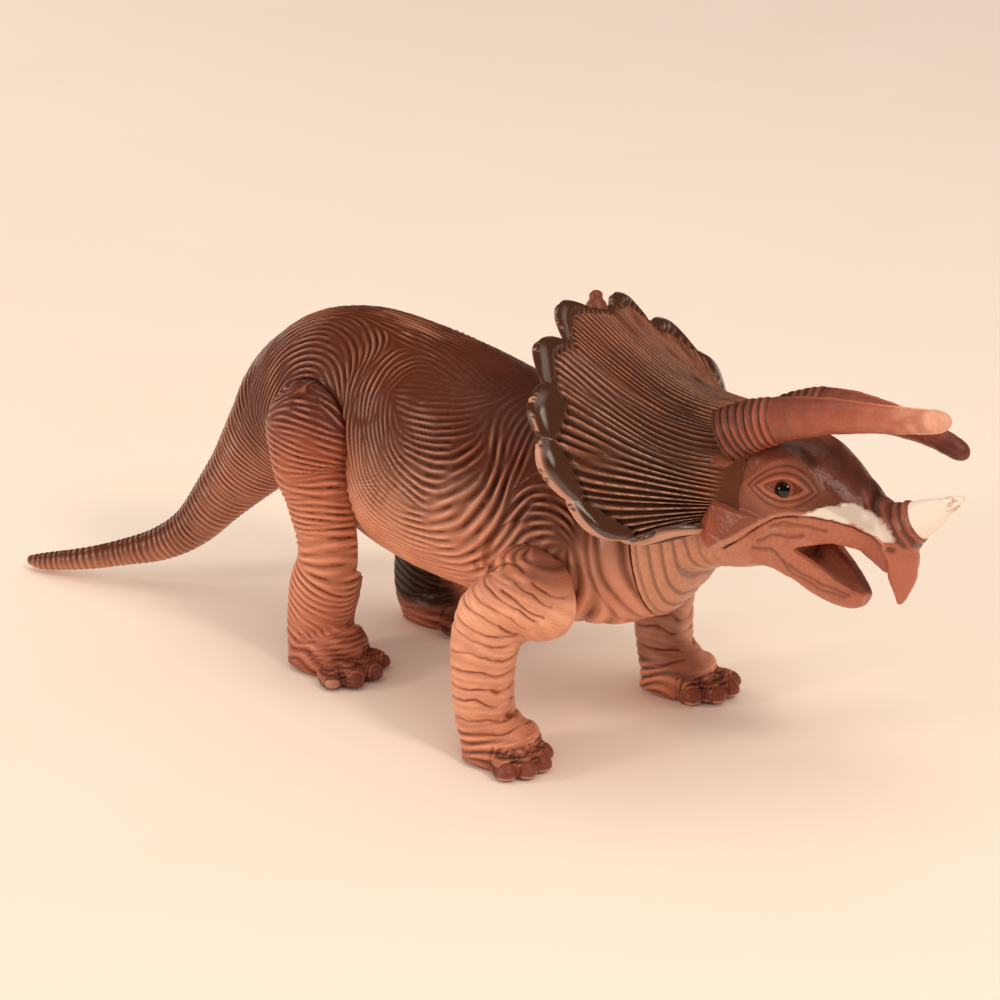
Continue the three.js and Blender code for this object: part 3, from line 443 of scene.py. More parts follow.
# rings round the tail
for at in range(150, int(run[-1]), 8):
    strokes += [[(at, HALF + x), (at, HALF + x + 8)] for x in range(-32, 25, 8)]
bearing = bearing_field(chart_shape, strokes)
chart_run = np.arange(chart_shape[0])[:, None] * STEP + np.zeros(chart_shape)
chart_turn = np.abs(np.arange(chart_shape[1])[None, :] * STEP - HALF) + np.zeros(chart_shape)
spacing = np.interp(chart_run, [0, 14, 34, 60, 75, 140, 250], [3.0, 2.7, 2.2, 2.2, 1.8, 1.8, 2.1])
# the smiling folds on the ribs are wider apart: place along and round the body, reach, spacing
for along, turn, reach, wide in ((50, 40, 13, 3.6), (28, 44, 10, 2.8)):
    near = np.exp(-((chart_run - along) ** 2 + (chart_turn - turn) ** 2) / reach**2)
    spacing = spacing * (1 - near) + wide * near
lines = folds(bearing, spacing, 3, loose=1.3)
grain = lumps(chart_shape, 0.5, 5)
patches = lumps(chart_shape, 7.0, 8)

side_x, side_z = skin[..., 0], skin[..., 2]
line_here = sample(lines, chart_y, chart_x)
# straight soft rolls round the chest beside the neck ring
sway = 1.6 * sample(lumps(chart_shape, 9.0, 9), chart_y, chart_x)
roll = 0.5 - 0.5 * np.cos(2 * np.pi * (run[:, None] + sway) / 3.5)
roll = 1 - 2 * roll**4
chest = ease(19, 12, run)[:, None]
line_here = line_here * (1 - chest) + 0.75 * roll * chest
grain_here = sample(grain, chart_y, chart_x)
patch_here = sample(patches, chart_y, chart_x)
# the belly band and the upper back are smoother, with pebbles in place of folds
belly = ease(0.86, 0.94, np.abs(round_run) / (girth / 2)) * ease(-20, 5, side_x)
upper = ease(20, 32, side_x) * ease(82, 92, side_z) * ease(62, 54, side_x)
# deepest over the thigh, in the fan before it, in the smiling folds and round the shoulder
DEEPEST = [(-24, 92, 15), (4, 92, 10), (48, 75, 13), (63, 72, 9), (78, 68, 12), (12, 60, 12)]
deepest = np.zeros_like(side_x)
for x, z, reach in DEEPEST:
    deepest = np.maximum(deepest, np.exp(-((side_x - x) ** 2 + (side_z - z) ** 2) / reach**2))
fold_depth = (0.66 + 0.55 * deepest) * (1 - 0.92 * belly) * (1 - 0.8 * upper) * (0.75 + 0.5 * patch_here)
fold_depth = fold_depth * (0.35 + 0.65 * ease(4, 14, rows[:, 4] * SIZE))[:, None]


# How deep in a groove and how high on a crest every point of a pattern of folds is
def groove_and_ridge(line, start=0.25, span=0.85):
    return np.clip((-line - start) / span, 0, 1) ** 1.3, np.clip((line + 0.1) / 1.1, 0, 1)


groove, ridge = groove_and_ridge(line_here)
pebbles = (0.06 + 0.16 * upper + 0.05 * belly) * (grain_here - 0.5)
relief = fold_depth * (0.35 * ridge - groove) + pebbles


# Vinyl with a fine speck, which takes its colour and mostly its shine too from the coat painted on the skin
# There are so many specks along a piece that the torso's are 0.3 mm wide, like the grain of a mould's wall
def vinyl(name, roughness, speck=0.25, shine=True, specks=900.0):
    material, tree, shader = new_material(name)
    coat = add(tree, "ShaderNodeVertexColor", {"layer_name": "coat"})
    feed(tree, shader.inputs["Base Color"], coat.outputs["Color"])
    shader.inputs["Roughness"].default_value = roughness
    if shine:
        feed(tree, shader.inputs["Specular IOR Level"], coat.outputs["Alpha"])
    if speck:
        grains = add(tree, "ShaderNodeTexNoise", Scale=specks, Detail=2.0)
        bump = add(tree, "ShaderNodeBump", Strength=speck, Distance=0.0002, Height=grains.outputs[0])
        feed(tree, shader.inputs["Normal"], bump.outputs[0])
    return material


# warm maroon spray that thins out to bare salmon vinyl below and is rubbed pale on the crests, with painted
# shade in the folds and painted highlights on their crests
body_vinyl = vinyl("brown_painted_vinyl", 0.25)

# Painted shade in folds and cuts takes more of the green and blue out of a colour than of the red
FOLD_SHADE = np.array([0.82, 1.0, 1.06])


def rgb(text):
    return np.array(colour(text)[:3])


# Colours with another one laid over them by a share
def laid(tint, over, share):
    share = share[..., None]
    return tint * (1 - share) + (rgb(over) if isinstance(over, str) else over) * share


# Colours made brighter by a share, or darker by one below zero
def toned(tint, share):
    return tint * (1 + share[..., None])


# Colours darkened by painted shade, which leaves them redder
def shaded(tint, share):
    return tint * (1 - share[..., None] * FOLD_SHADE)


# How much a point shines is kept beside its colour: a crest shines more than the bottom of a fold
def with_shine(values, shine):
    shine = np.broadcast_to(np.clip(shine, 0, 1), values.shape[:-1])
    return np.concatenate([values, shine[..., None]], -1)


SPRAY_PLACES, SPRAY_HEIGHTS = [-60, -20, 20, 58, 72, 86, 100], [36, 60, 62, 64, 55, 56, 57]
level = (side_z - np.interp(side_x, SPRAY_PLACES, SPRAY_HEIGHTS)) / 17
# on the tail the spray lies on the upper half, right to the tip
tail_level = 0.9 * (side_z - spine[:, None, 2]) / (rows[:, 4:5] * SIZE) + 0.15
on_tail = ease(-40, -60, side_x)
level = level * (1 - on_tail) + tail_level * on_tail
amount = np.clip(ease(-1.2, 1.1, level + 0.5 * (patch_here - 0.5) - 0.25 * ridge + 0.25 * groove), 0, 1)
# handling has rubbed the spray off the crests of the folds
worn_crest = ridge**2 * np.clip(fold_depth / 0.75, 0, 1.2) * (0.25 + 0.6 * patch_here)
amount = amount * (1 - 0.5 * np.clip(worn_crest, 0, 1))
# a double row of pits along the side of the tail, with painted shade in them
ladder = bell(np.abs(round_run) / girth - 0.25, 0.035)
ladder = ladder * ease(-42, -52, side_x) * ease(-105, -95, side_x)
pits = ladder * ease(0.1, 0.7, np.cos(2 * np.pi * run / 2.3))[:, None]
relief = relief - 0.25 * pits + 0.12 * ladder
tail_grip = (0.45 + 0.35 * ease(-100, -70, side_x) + 0.2 * ease(-70, -45, side_x)) * (fold_depth / 0.75)
body_tint = laid(rgb("#ca8668"), "#5a2c1c", amount)
# painted shade in the folds and painted highlights on their crests
body_tint = shaded(body_tint, 0.82 * np.clip(groove * tail_grip, 0, 1) ** 1.2)
body_tint = toned(body_tint, 0.6 * np.clip(ridge * tail_grip, 0, 1) ** 1.7)
# painted shade in the pits, and the line they lie on a little lighter
body_tint = toned(body_tint, 0.25 * ladder - 0.5 * pits)
body_points = skin + grid_normals(skin) * relief[..., None]
beyond = (body_points - neck_centre) @ neck_forward
body_points = body_points - np.maximum(beyond, 0)[..., None] * neck_forward
SNAP = 0.24


# Flat seats for the legs: a disc and the strip below it are cut back to the plane of the pad
# The strip's front edge is a line of places down and ahead of the pivot, and its back edge is upright
def seat(points, pivot, radius, across, downs, fronts, back):
    x, z = points[..., 0] - pivot[0], points[..., 2] - pivot[1]
    far = np.hypot(x, z)
    below = (z < 0) & (x > -back) & (x < np.interp(-z, [0, *downs], [radius, *fronts]))
    depth = np.where(below, 2.0, radius - far)
    # points close to the disc's edge are moved onto it, so that the edge is crisp
    snap = np.where((np.abs(depth) < SNAP) & (z > 0), depth / np.maximum(far, 1e-6), 0)
    points[..., 0] += snap * x
    points[..., 2] += snap * z
    cut = (depth > -SNAP) & (np.abs(points[..., 1]) > across)
    points[..., 1] = np.where(cut, np.sign(points[..., 1]) * across, points[..., 1])


seat(body_points, HIP, 16.5, HIP_PAD, [14, 22, 35, 70], [16.3, 17.5, 19.0, 21.0], 19.0)
seat(body_points, SHOULDER, 16.85, SHOULDER_PAD, [6, 14, 30, 50], [16.6, 12, 10, 10], 20.0)


# The tail has half as many points round it as the body
def thinned(values):
    body, tail = values[:BODY_STATIONS], values[BODY_STATIONS:, ::2]
    return np.concatenate([body.reshape(-1, values.shape[2]), tail.reshape(-1, values.shape[2])])


tail_start, half_around = BODY_STATIONS * AROUND, AROUND // 2
tail_faces = grid_faces(STATIONS - BODY_STATIONS, half_around) + tail_start
joining = step_faces(tail_start - AROUND, tail_start, AROUND)
all_faces = grid_faces(BODY_STATIONS, AROUND).tolist() + joining + tail_faces.tolist()
last_ring = tail_start + (STATIONS - BODY_STATIONS - 1) * half_around
ends = [range(AROUND), [last_ring + k for k in range(half_around)][::-1]]
torso_faces = [f[::-1] for f in all_faces] + ends
torso = mesh_object("torso_and_tail_skin", thinned(body_points), torso_faces, body_vinyl)
paint(torso, "coat", thinned(with_shine(body_tint, 0.12 + 0.75 * ridge)))
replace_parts(torso, "torso_and_tail")
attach(torso, "torso")

# Hind legs
# Each is one hollow salmon leg held by a plug, so that its round top turns flat on the pad of the pelvis
# Thigh folds run across it, the shank has slanting arcs, and the four toes end in short nails
# Shares: along, across, height, half width across, ahead and behind, squareness, or one radius
hind_shares = [
    [-0.11, -0.23, 0.848, 0.03, 0.022, 0.022, 2],
    [-0.11, -0.225, 0.838, 0.055],
    [-0.11, -0.215, 0.8, 0.095, 0.108, 0.108, 2],
    [-0.11, -0.208, 0.72, 0.125, 0.143, 0.143, 2],
    [-0.1, -0.208, 0.61, 0.126, 0.132, 0.132, 2],
    [-0.07, -0.208, 0.53, 0.12, 0.115, 0.115, 2],
    [-0.048, -0.212, 0.45, 0.112, 0.106, 0.106, 2],
    [-0.034, -0.22, 0.39, 0.102, 0.098, 0.098, 2],
    [-0.034, -0.224, 0.326, 0.1, 0.094, 0.094, 2],
    [-0.06, -0.224, 0.24, 0.1, 0.102, 0.102, 2.1],
    [-0.076, -0.226, 0.157, 0.096, 0.096, 0.096, 2.1],
    [-0.074, -0.23, 0.095, 0.098, 0.1, 0.098, 2.1],
    [-0.045, -0.238, 0.05, 0.11, 0.125, 0.118, 2.3],
    [-0.036, -0.24, 0.015, 0.107, 0.122, 0.115, 2.3],
    [-0.036, -0.24, -0.015, 0.088, 0.1, 0.092, 2.3],
]
hip_round = ((HIP[0], 21.0, HIP[1]), (15.3, 12.0, 15.3))
hind_toe_shares = [[0.127, -0.15], [0.171, -0.236], [0.166, -0.322], [0.118, -0.38]]
hind_strokes = [
    [(-18, 76), (-13, 81.5), (-6, 82), (-0.5, 79), (2, 75)],
    [(-16.5, 77.5), (-10.5, 79), (-4, 78), (1, 75.5), (3, 73)],
    [(-13, 74.5), (-5.5, 75), (-0.5, 74), (3.3, 71)],
    [(-22, 70), (-12, 70), (-5, 69), (0, 67.5), (3, 63.5)],
    [(-20, 62), (-10.5, 62.5), (-5, 63), (0, 63), (3, 61)],
    [(-18, 57), (-8.5, 57), (-2, 56.5), (2, 56.5), (4, 55)],
    [(-16, 50), (-7.5, 51), (-1.5, 52.5), (2.5, 51), (5, 49.5)],
    [(-14, 42), (-8, 43), (-1, 43), (3, 43.5), (6, 43)],
    [(-12, 35.5), (-6, 37), (0, 38), (4.7, 37.5), (6, 37.5)],
    [(-5, 33.7), (1, 33.3), (5, 33.9), (6, 33.6)],
    [(-16, 33), (-13, 32.5), (-8.8, 31), (-3.3, 28), (0.5, 24.7), (3, 21.8)],
    [(-16, 30), (-10, 27), (-3.6, 22.5), (0, 20), (2.3, 17.5)],
    [(-16, 27), (-11.8, 24), (-5.4, 19.5), (-1.3, 17.5), (1.6, 14.5)],
    [(-16, 21), (-11.5, 18.5), (-6, 15.5), (-1.2, 13.8), (4.7, 13)],
    [(-15, 16), (-11, 14.5), (-5.6, 12.3), (0, 11.8), (5, 11.9)],
]


# An object from closed bodies in millimetres, used only while a skin is made
def draft(parts):
    mesh, body = bpy.data.meshes.new("draft"), bmesh.new()
    for points, faces in parts:
        made = [body.verts.new(p) for p in points.tolist()]
        for face in faces:
            body.faces.new([made[k] for k in face])
    bmesh.ops.recalc_face_normals(body, faces=body.faces)
    body.to_mesh(mesh)
    body.free()
    item = bpy.data.objects.new("draft", mesh)
    bpy.context.scene.collection.objects.link(item)
    return item


# Several closed bodies grown into one skin of even squares, less what the cutters take away
def merged(parts, voxel, rounds=3, cutters=()):
    item = draft(parts)
    tools = [draft([cutter]) for cutter in cutters]

    def modify(kind, **settings):
        modifier = item.modifiers.new(kind, kind)
        for key, value in settings.items():
            setattr(modifier, key, value)

    modify("REMESH", mode="VOXEL", voxel_size=voxel)
    for tool in tools:
        modify("BOOLEAN", operation="DIFFERENCE", solver="MANIFOLD", object=tool)
    if tools:
        modify("REMESH", mode="VOXEL", voxel_size=voxel)
    baked = item.evaluated_get(bpy.context.evaluated_depsgraph_get()).to_mesh()
    made = np.zeros(len(baked.vertices) * 3)
    baked.vertices.foreach_get("co", made)
    corners = np.zeros(len(baked.loops), int)
    baked.loops.foreach_get("vertex_index", corners)
    for used in [item] + tools:
        spent = used.data
        bpy.data.objects.remove(used)
        bpy.data.meshes.remove(spent)
    made, corners = made.reshape(-1, 3), corners.reshape(-1, 4)
    return relaxed(made, corners, rounds), corners


# Sum of the values of all corners that meet in a point
def spread(corners, values, count):
    return np.stack([np.bincount(corners, values[:, k], count) for k in range(values.shape[1])], 1)


# Points moved towards their neighbours and almost as far back, which takes out the steps but not the form
def relaxed(points, faces, rounds):
    a, b = faces.ravel(), np.roll(faces, -1, 1).ravel()
    links = np.maximum(np.bincount(a, minlength=len(points)), 1)[:, None]
    for step in (0.5, -0.52) * rounds:
        points = points + step * (spread(a, points[b], len(points)) / links - points)
    return points


# Directions in which a skin of squares faces at its points
def surface_normals(points, faces):
    a, b, c, d = points[faces.T]
    return unit(spread(faces.ravel(), np.repeat(np.cross(c - a, d - b), 4, 0), len(points)))


# Rings of points as a closed body
def tube(points):
    count, around = points.shape[:2]
    ends = [list(range(around))[::-1], [(count - 1) * around + k for k in range(around)]]
    return points.reshape(-1, 3), grid_faces(count, around).tolist() + ends


# A ball with three radii, turned about the upright
def ellipsoid(centre, size, heading=0.0, count=20):
    a = np.linspace(0.03, np.pi - 0.03, count)[:, None]
    b = np.arange(2 * count) / count * np.pi
    ball = np.stack([np.sin(a) * np.cos(b), np.sin(a) * np.sin(b), np.cos(a) + 0 * b], -1) * np.array(size)
    c, s = np.cos(heading), np.sin(heading)
    return tube(ball @ np.array([[c, s, 0], [-s, c, 0], [0, 0, 1]]) + centre)


# radius of the drum that a leg's folds are grown on, size of its squares, and radii of a toe
LEG_ROUND, LEG_VOXEL, TOE_SIZE = 10.0, 0.36, (7.0, 4.0, 4.3)


# A leg before its folds: points, faces, every point's way down the leg and bearing, the toes and the chart
# Its inner side is cut flat at a distance from the middle, and below a clear height it may lean further in
def limb(hand, shares, toe_shares, face, clear, root, step=0.0, inward=0.0, height=70.0):
    shares = filled(shares)
    (root_x, root_y, root_z), root_size = root
    low = np.clip(1 - shares[:, 2] * SIZE / height, 0, 1)
    shares[:, 0] += step * low
    shares[:, 1] = -hand * (shares[:, 1] + inward * low)
    rows = smooth_rows(shares, 110)
    skin, spine = rings(rows, X_AXIS, 72)
    heel = spine[-1] * [1, 1, 0]
    parts, toes = [tube(skin), ellipsoid(np.array([root_x, hand * root_y, root_z]), root_size)], []
    for x, y in toe_shares:
        tip = np.array([(x + step) * SIZE, -hand * (y + inward) * SIZE, 0])
        way = unit(tip - heel)
        toes.append((tip, way))
        centre = tip - way * TOE_SIZE[0] + [0, 0, 2.2]
        parts.append(ellipsoid(centre, TOE_SIZE, np.arctan2(way[1], way[0])))
    points, faces = merged(parts, LEG_VOXEL, rounds=10)
    run = travelled(spine)
    place = np.argmin(((points[:, None, ::2] - spine[None, :, ::2]) ** 2).sum(2), 1)
    off = points - spine[place]
    down = run[place] + (off * unit(np.gradient(spine, axis=0))[place]).sum(1)
    turn = np.arctan2(off[:, 0], hand * off[:, 1])
    # the part next to the body is cut flat, and so is the sole
    limit = face - 1.2 * np.clip(clear - points[:, 2], 0, None)
    points[:, 1] = hand * np.maximum(hand * points[:, 1], limit)
    points[:, 2] = np.maximum(points[:, 2], 0)
    # the sole's edge is rounded in
    tuck = 0.09 * np.clip(1 - points[:, 2] / 2.6, 0, 1) ** 2
    points[:, :2] += tuck[:, None] * (heel - points)[:, :2]
    return points, faces, down, turn, toes, (skin, spine, run)


# Side-view strokes as places on the outer half of a leg's chart
def leg_strokes(strokes, hand, chart):
    skin, spine, run = chart
    off = skin - spine[:, None]
    outer = np.argwhere(hand * off[..., 1] > 0)
    flat = skin[outer[:, 0], outer[:, 1]][:, [0, 2]]
    placed = []
    for stroke in strokes:
        near = [outer[np.argmin(((flat - p) ** 2).sum(1))] for p in stroke]
        turns = [np.arctan2(off[i, j, 0], hand * off[i, j, 1]) for i, j in near]
        placed.append([(run[i], t) for (i, _), t in zip(near, turns)])
    return placed


# Folds grown on the unrolled leg, with each stroke mirrored to the inner half
def leg_folds(placed, length, spacing, seed):
    shape = (int(length / STEP) + 2, int(round(2 * np.pi * LEG_ROUND / STEP)))
    guides = []
    for stroke in placed:
        guides.append([(s, (t + np.pi) * LEG_ROUND) for s, t in stroke])
        guides += [[(s, (m * np.pi - t + np.pi) * LEG_ROUND) for s, t in stroke] for m in (1, -1)]
    bearing = bearing_field(shape, guides)
    return folds(bearing, spacing(np.arange(shape[0])[:, None] * STEP + np.zeros(shape)), seed, loose=1.5)


# Value of a leg's chart at points of its skin
def on_leg(grid, down, turn):
    around = ((turn + np.pi) % (2 * np.pi)) * LEG_ROUND / STEP
    return sample(np.concatenate([grid, grid[:, :1]], 1), down / STEP, around)


# Distance of every point from a set of lines
def from_lines(x, y, lines):
    nearest = np.full(y.shape, 1e9)
    for line in lines:
        for (x0, y0), (x1, y1) in zip(line[:-1], line[1:]):
            dy, dx = y1 - y0, x1 - x0
            t = np.clip(((y - y0) * dy + (x - x0) * dx) / (dy * dy + dx * dx + 1e-9), 0, 1)
            nearest = np.minimum(nearest, (y - y0 - t * dy) ** 2 + (x - x0 - t * dx) ** 2)
    return np.sqrt(nearest)


# Knuckle folds and nails: how deep the folds are, and how much of a point is nail
def toe_marks(points, toes, knuckles, nail_length):
    crease, nail = np.zeros(len(points)), np.zeros(len(points))
    for tip, way in toes:
        back = (tip - points) @ way
        aside = np.abs((points - tip) @ np.cross(way, Z_AXIS))
        on_toe = ease(4.6, 3.6, aside) * ease(8.5, 7.5, points[:, 2])
        for at in knuckles:
            crease = np.maximum(crease, bell(back - at + 0.04 * aside**2, 0.32) * on_toe)
        from_nail = back + 0.05 * aside**2
        plate = on_toe * ease(nail_length + 0.2, nail_length - 0.3, from_nail) * ease(0.5, 1.2, points[:, 2])
        border = bell(from_nail - nail_length, 0.3) * on_toe * ease(6.0, 5.0, points[:, 2])
        nail, crease = np.maximum(nail, plate), np.maximum(crease, border)
    return crease, nail


# bare salmon vinyl with painted shade in every fold, and a soft satin shine
leg_vinyl = vinyl("salmon_vinyl_legs", 0.3)


# Colours that change along a scale from one shade to the next
def tones(at, places, shades):
    values = np.array([rgb(s) for s in shades])
    return np.stack([np.interp(at, places, values[:, k]) for k in range(3)], -1)


# A leg's object, with painted shade darkening its side that is turned to the belly by a share
def leg_item(name, points, faces, turn, tint, shade, shine):
    tint = toned(tint, -shade * ease(-0.2, 0.5, -np.cos(turn)) * ease(4, 10, points[:, 2]))
    leg = mesh_object(name, points, faces, leg_vinyl)
    paint(leg, "coat", with_shine(tint, shine))
    return leg


HIND_KNUCKLES, HIND_NAIL = (3.0, 4.1, 5.2, 6.3, 7.4), 1.7


def hind_spacing(down):
    return np.interp(down, [0, 40, 55, 62], [1.8, 2.0, 2.5, 2.2])


def hind_leg(name, hand, seed, shade):
    face = HIP_PAD + 0.4
    points, faces, down, turn, toes, chart = limb(hand, hind_shares, hind_toe_shares, face, 31.5, hip_round)
    placed = leg_strokes(hind_strokes, hand, chart)
    lines = leg_folds(placed, chart[2][-1], hind_spacing, seed)
    patch = on_leg(lumps(lines.shape, 5.0, seed + 1), down, turn)
    outside = ease(21.3, 22.3, hand * points[:, 1]) + ease(33, 31, points[:, 2])
    open_skin = np.clip(outside, 0, 1) * ease(0.3, 1.5, points[:, 2])
    foot = ease(9.5, 7.0, points[:, 2])
    crease, nail = toe_marks(points, toes, HIND_KNUCKLES, HIND_NAIL)
    depth = (0.42 + 0.14 * patch) * (1 - 0.15 * foot) * (1 - nail) * open_skin
    groove, ridge = groove_and_ridge(on_leg(lines, down, turn), 0.42, 0.7)
    relief = depth * (0.45 * ridge - groove) - 0.42 * crease * open_skin + 0.12 * nail
    points = points + surface_normals(points, faces) * relief[:, None]
    points[:, 2] = np.maximum(points[:, 2], 0)
    tint = tones(
        points[:, 2] + 5 * (patch - 0.5),
        [1, 8, 14, 28, 44, 56, 66, 74, 82],
        ["#8d4a36", "#a9634a", "#bd7558", "#c27d5f", "#bd7658", "#b0674b", "#9a5038", "#733526", "#5a291d"],
    )
    # painted shade lies in the folds, and their crests are rubbed back to bare vinyl
    tint = laid(tint, "#c98568", 0.35 * (ridge**2 * depth / 0.5 * ease(40, 66, points[:, 2])))
    tint = shaded(tint, 0.85 * np.clip(groove**1.2 * depth / 0.5, 0, 1))
    # painted highlights on the fold crests and painted shade in the knuckle creases
    tint = toned(toned(tint, 0.6 * (ridge**1.5 * depth / 0.5)), -0.6 * crease)
    # the outermost nail is rubbed pale
    outermost = (np.linalg.norm(points - toes[-1][0], axis=1) < 4)[:, None]
    tint = laid(tint, np.where(outermost, rgb("#bd8068"), rgb("#7a4538")), nail)
    return leg_item(name, points, faces, turn, tint, shade, 0.15 + 0.6 * ridge)


leg = hind_leg("hindleg_right_skin", -1, 21, 0.3)
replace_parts(leg, "hindleg_right")
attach(leg, "hindleg_right_body")
leg = hind_leg("hindleg_left_skin", 1, 23, 0.93)
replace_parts(leg, "hindleg_left")
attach(leg, "hindleg_left_body")

# Forelegs
# Each is one hollow salmon leg with a round shoulder that turns on its pad, carved with separate thin folds
# Slanting cuts cross the upper arm and rings go round the forearm, and the foot has four toes with dark nails
fore_shares = [
    [0.79, -0.28, 0.595, 0.03],
    [0.79, -0.28, 0.58, 0.065, 0.08, 0.08, 2],
    [0.796, -0.283, 0.53, 0.11, 0.14, 0.13, 2],
    [0.784, -0.295, 0.475, 0.13, 0.13, 0.128, 2],
    [0.745, -0.318, 0.43, 0.135, 0.1, 0.098, 2],
    [0.722, -0.348, 0.39, 0.125, 0.09, 0.106, 2],
    [0.711, -0.372, 0.345, 0.108, 0.09, 0.095, 2],
    [0.708, -0.384, 0.29, 0.097, 0.089, 0.089, 2],
    [0.706, -0.384, 0.2, 0.09, 0.083, 0.083, 2.1],
    [0.714, -0.382, 0.12, 0.088, 0.08, 0.08, 2.1],
    [0.735, -0.38, 0.075, 0.094, 0.096, 0.09, 2.1],
    [0.758, -0.378, 0.04, 0.108, 0.122, 0.115, 2.3],
    [0.766, -0.378, 0.015, 0.103, 0.116, 0.108, 2.3],
    [0.766, -0.378, -0.015, 0.084, 0.095, 0.088, 2.3],
]
DISC_CENTRE, ARC_RADIUS = (79.5, 47.0), 10.6
shoulder_round = ((DISC_CENTRE[0], 27.0, DISC_CENTRE[1]), (15.3, 12.0, 13.6))
fore_toe_shares = [[0.892, -0.3], [0.94, -0.37], [0.938, -0.44], [0.9, -0.497]]
fore_cuts = [
    [(87.2, 55.1), (90.7, 52.7), (93.4, 50)],
    [(83, 54.1), (88.3, 51.7), (91.7, 48)],
    [(79.9, 52.2), (84.5, 50), (86.9, 47.4), (90, 44.6)],
    [(70, 54), (76.4, 51.7), (81.2, 49.2), (85.5, 47.2), (88.1, 43.6)],
    [(67, 51), (73.8, 48.4), (78.6, 46.1), (82.9, 44.1), (84.7, 40.1)],
    [(64, 48), (71.9, 45.6), (76.3, 43.9), (79.5, 41.1), (81.2, 37.3)],
    [(63, 43.5), (70.1, 41.2), (74.3, 39.8), (78.1, 38.5), (80.8, 37.2)],
    [(63, 40), (71.8, 37.6), (75.7, 36.7), (78.7, 35.2), (79.9, 34.9)],
    [(62, 32), (68.3, 32.4), (74.1, 33.6), (77.5, 32.1), (79.7, 30.3)],
    [(62.5, 27), (71, 27.6), (76.5, 28.2), (79.4, 26.1)],
    [(63, 22.2), (72.7, 22.6), (77.9, 22.6), (78.7, 20.6)],
    [(63, 18), (70.1, 18.8), (74.7, 19.4), (78.3, 17)],
    [(63.5, 13), (72.8, 12.8), (77.8, 13.4), (80.3, 13.4)],
    [(65, 9.5), (74.2, 9.3), (79.4, 10.4), (83.6, 11.9)],
]


FORE_KNUCKLES, FORE_NAIL = (3.8, 4.9, 6.0, 7.1, 8.2), 2.7


def fore_leg(name, hand, seed, step, inward, shade):
    face, height = SHOULDER_PAD + 0.35, SHOULDER[1]
    points, faces, down, turn, toes, chart = limb(
        hand, fore_shares, fore_toe_shares, face, 27.0, shoulder_round, step, inward, height
    )
    cuts = [[(x + SIZE * step * max(0, 1 - z / height), z) for x, z in cut] for cut in fore_cuts]
    placed = leg_strokes(cuts, hand, chart)
    lines = leg_folds(placed, chart[2][-1], lambda s: 2.3 + 0 * s, seed)
    x, y, z = points[:, 0], hand * points[:, 1], points[:, 2]

    def lumps_here(size, number):
        return on_leg(lumps(lines.shape, size, seed + number), down, turn)

    patch, grain = lumps_here(5.0, 1), lumps_here(0.5, 2)
    wander = 0.9 * (patch - 0.5) + 0.3 * (lumps_here(1.6, 4) - 0.5)
    gap = from_lines(x, z + wander, cuts)
    # one arc crease follows the round top of the shoulder
    from_disc = np.hypot(x - DISC_CENTRE[0], z - DISC_CENTRE[1])
    arc = (z > 50) * ease(31.5, 33.0, y) * ease(66, 72, x) * (x < 84)
    gap = np.minimum(gap, np.where(arc > 0.5, np.abs(from_disc - ARC_RADIUS), 9.0))
    open_skin = np.clip(ease(27.5, 28.5, y) + ease(29, 26, z), 0, 1) * ease(0.3, 1.5, z)
    foot = ease(11.0, 8.5, z) * ease(0, 3, z)
    crease, nail = toe_marks(points, toes, FORE_KNUCKLES, FORE_NAIL)
    # each carved fold is a fine cut in a wider hollow, and is stronger in some places than in others
    strength = (0.7 + 0.3 * ease(0.25, 0.6, lumps_here(3.0, 3))) * (1 - foot)
    cut, hollow = strength * bell(gap, 0.29), strength * ease(1.5, 0.0, gap)
    groove, ridge = groove_and_ridge(on_leg(lines, down, turn))
    fine = (0.36 * foot * (1 - nail) + (0.06 + 0.22 * ease(52, 56, z)) * (1 - foot)) * open_skin
    relief = -(0.55 * cut + 0.3 * hollow) * open_skin + fine * (0.5 * ridge - groove)
    relief = relief - 0.4 * crease * open_skin + 0.12 * nail + 0.06 * (grain - 0.5) * open_skin
    points = points + surface_normals(points, faces) * relief[:, None]
    points[:, 2] = np.maximum(points[:, 2], 0)
    tint = tones(
        points[:, 2] + 4 * (patch - 0.5),
        [0, 5, 10, 16, 30, 46, 56, 61],
        ["#96523a", "#b0684b", "#c67d5e", "#dc9676", "#de9776", "#efa987", "#c67b5c", "#7a3f2b"],
    )
    # painted shade in the carved cuts, between the fine folds and in the knuckle creases, and painted
    # highlights on the fold crests
    tint = toned(shaded(tint, 0.72 * cut * open_skin), -2.1 * groove * fine)
    tint = toned(toned(tint, 1.8 * (ridge**1.5 * fine)), -0.6 * crease)
    tint = toned(tint, 0.12 * grain - 0.06)
    # dark nails with a pale worn edge
    tint = laid(laid(tint, "#84432f", nail), "#e0a48b", nail * ease(1.9, 1.3, points[:, 2]))
    shine = (0.35 + 0.35 * ridge) * (1 - cut) * (1 - 0.7 * crease)
    return leg_item(name, points, faces, turn, tint, shade, shine)


leg = fore_leg("foreleg_right_skin", -1, 31, 0.0, 0.0, 0.1)
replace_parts(leg, "foreleg_right")
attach(leg, "foreleg_right_body")
leg = fore_leg("foreleg_left_skin", 1, 33, 0.07, 0.065, 0.45)
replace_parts(leg, "foreleg_left")
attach(leg, "foreleg_left_body")

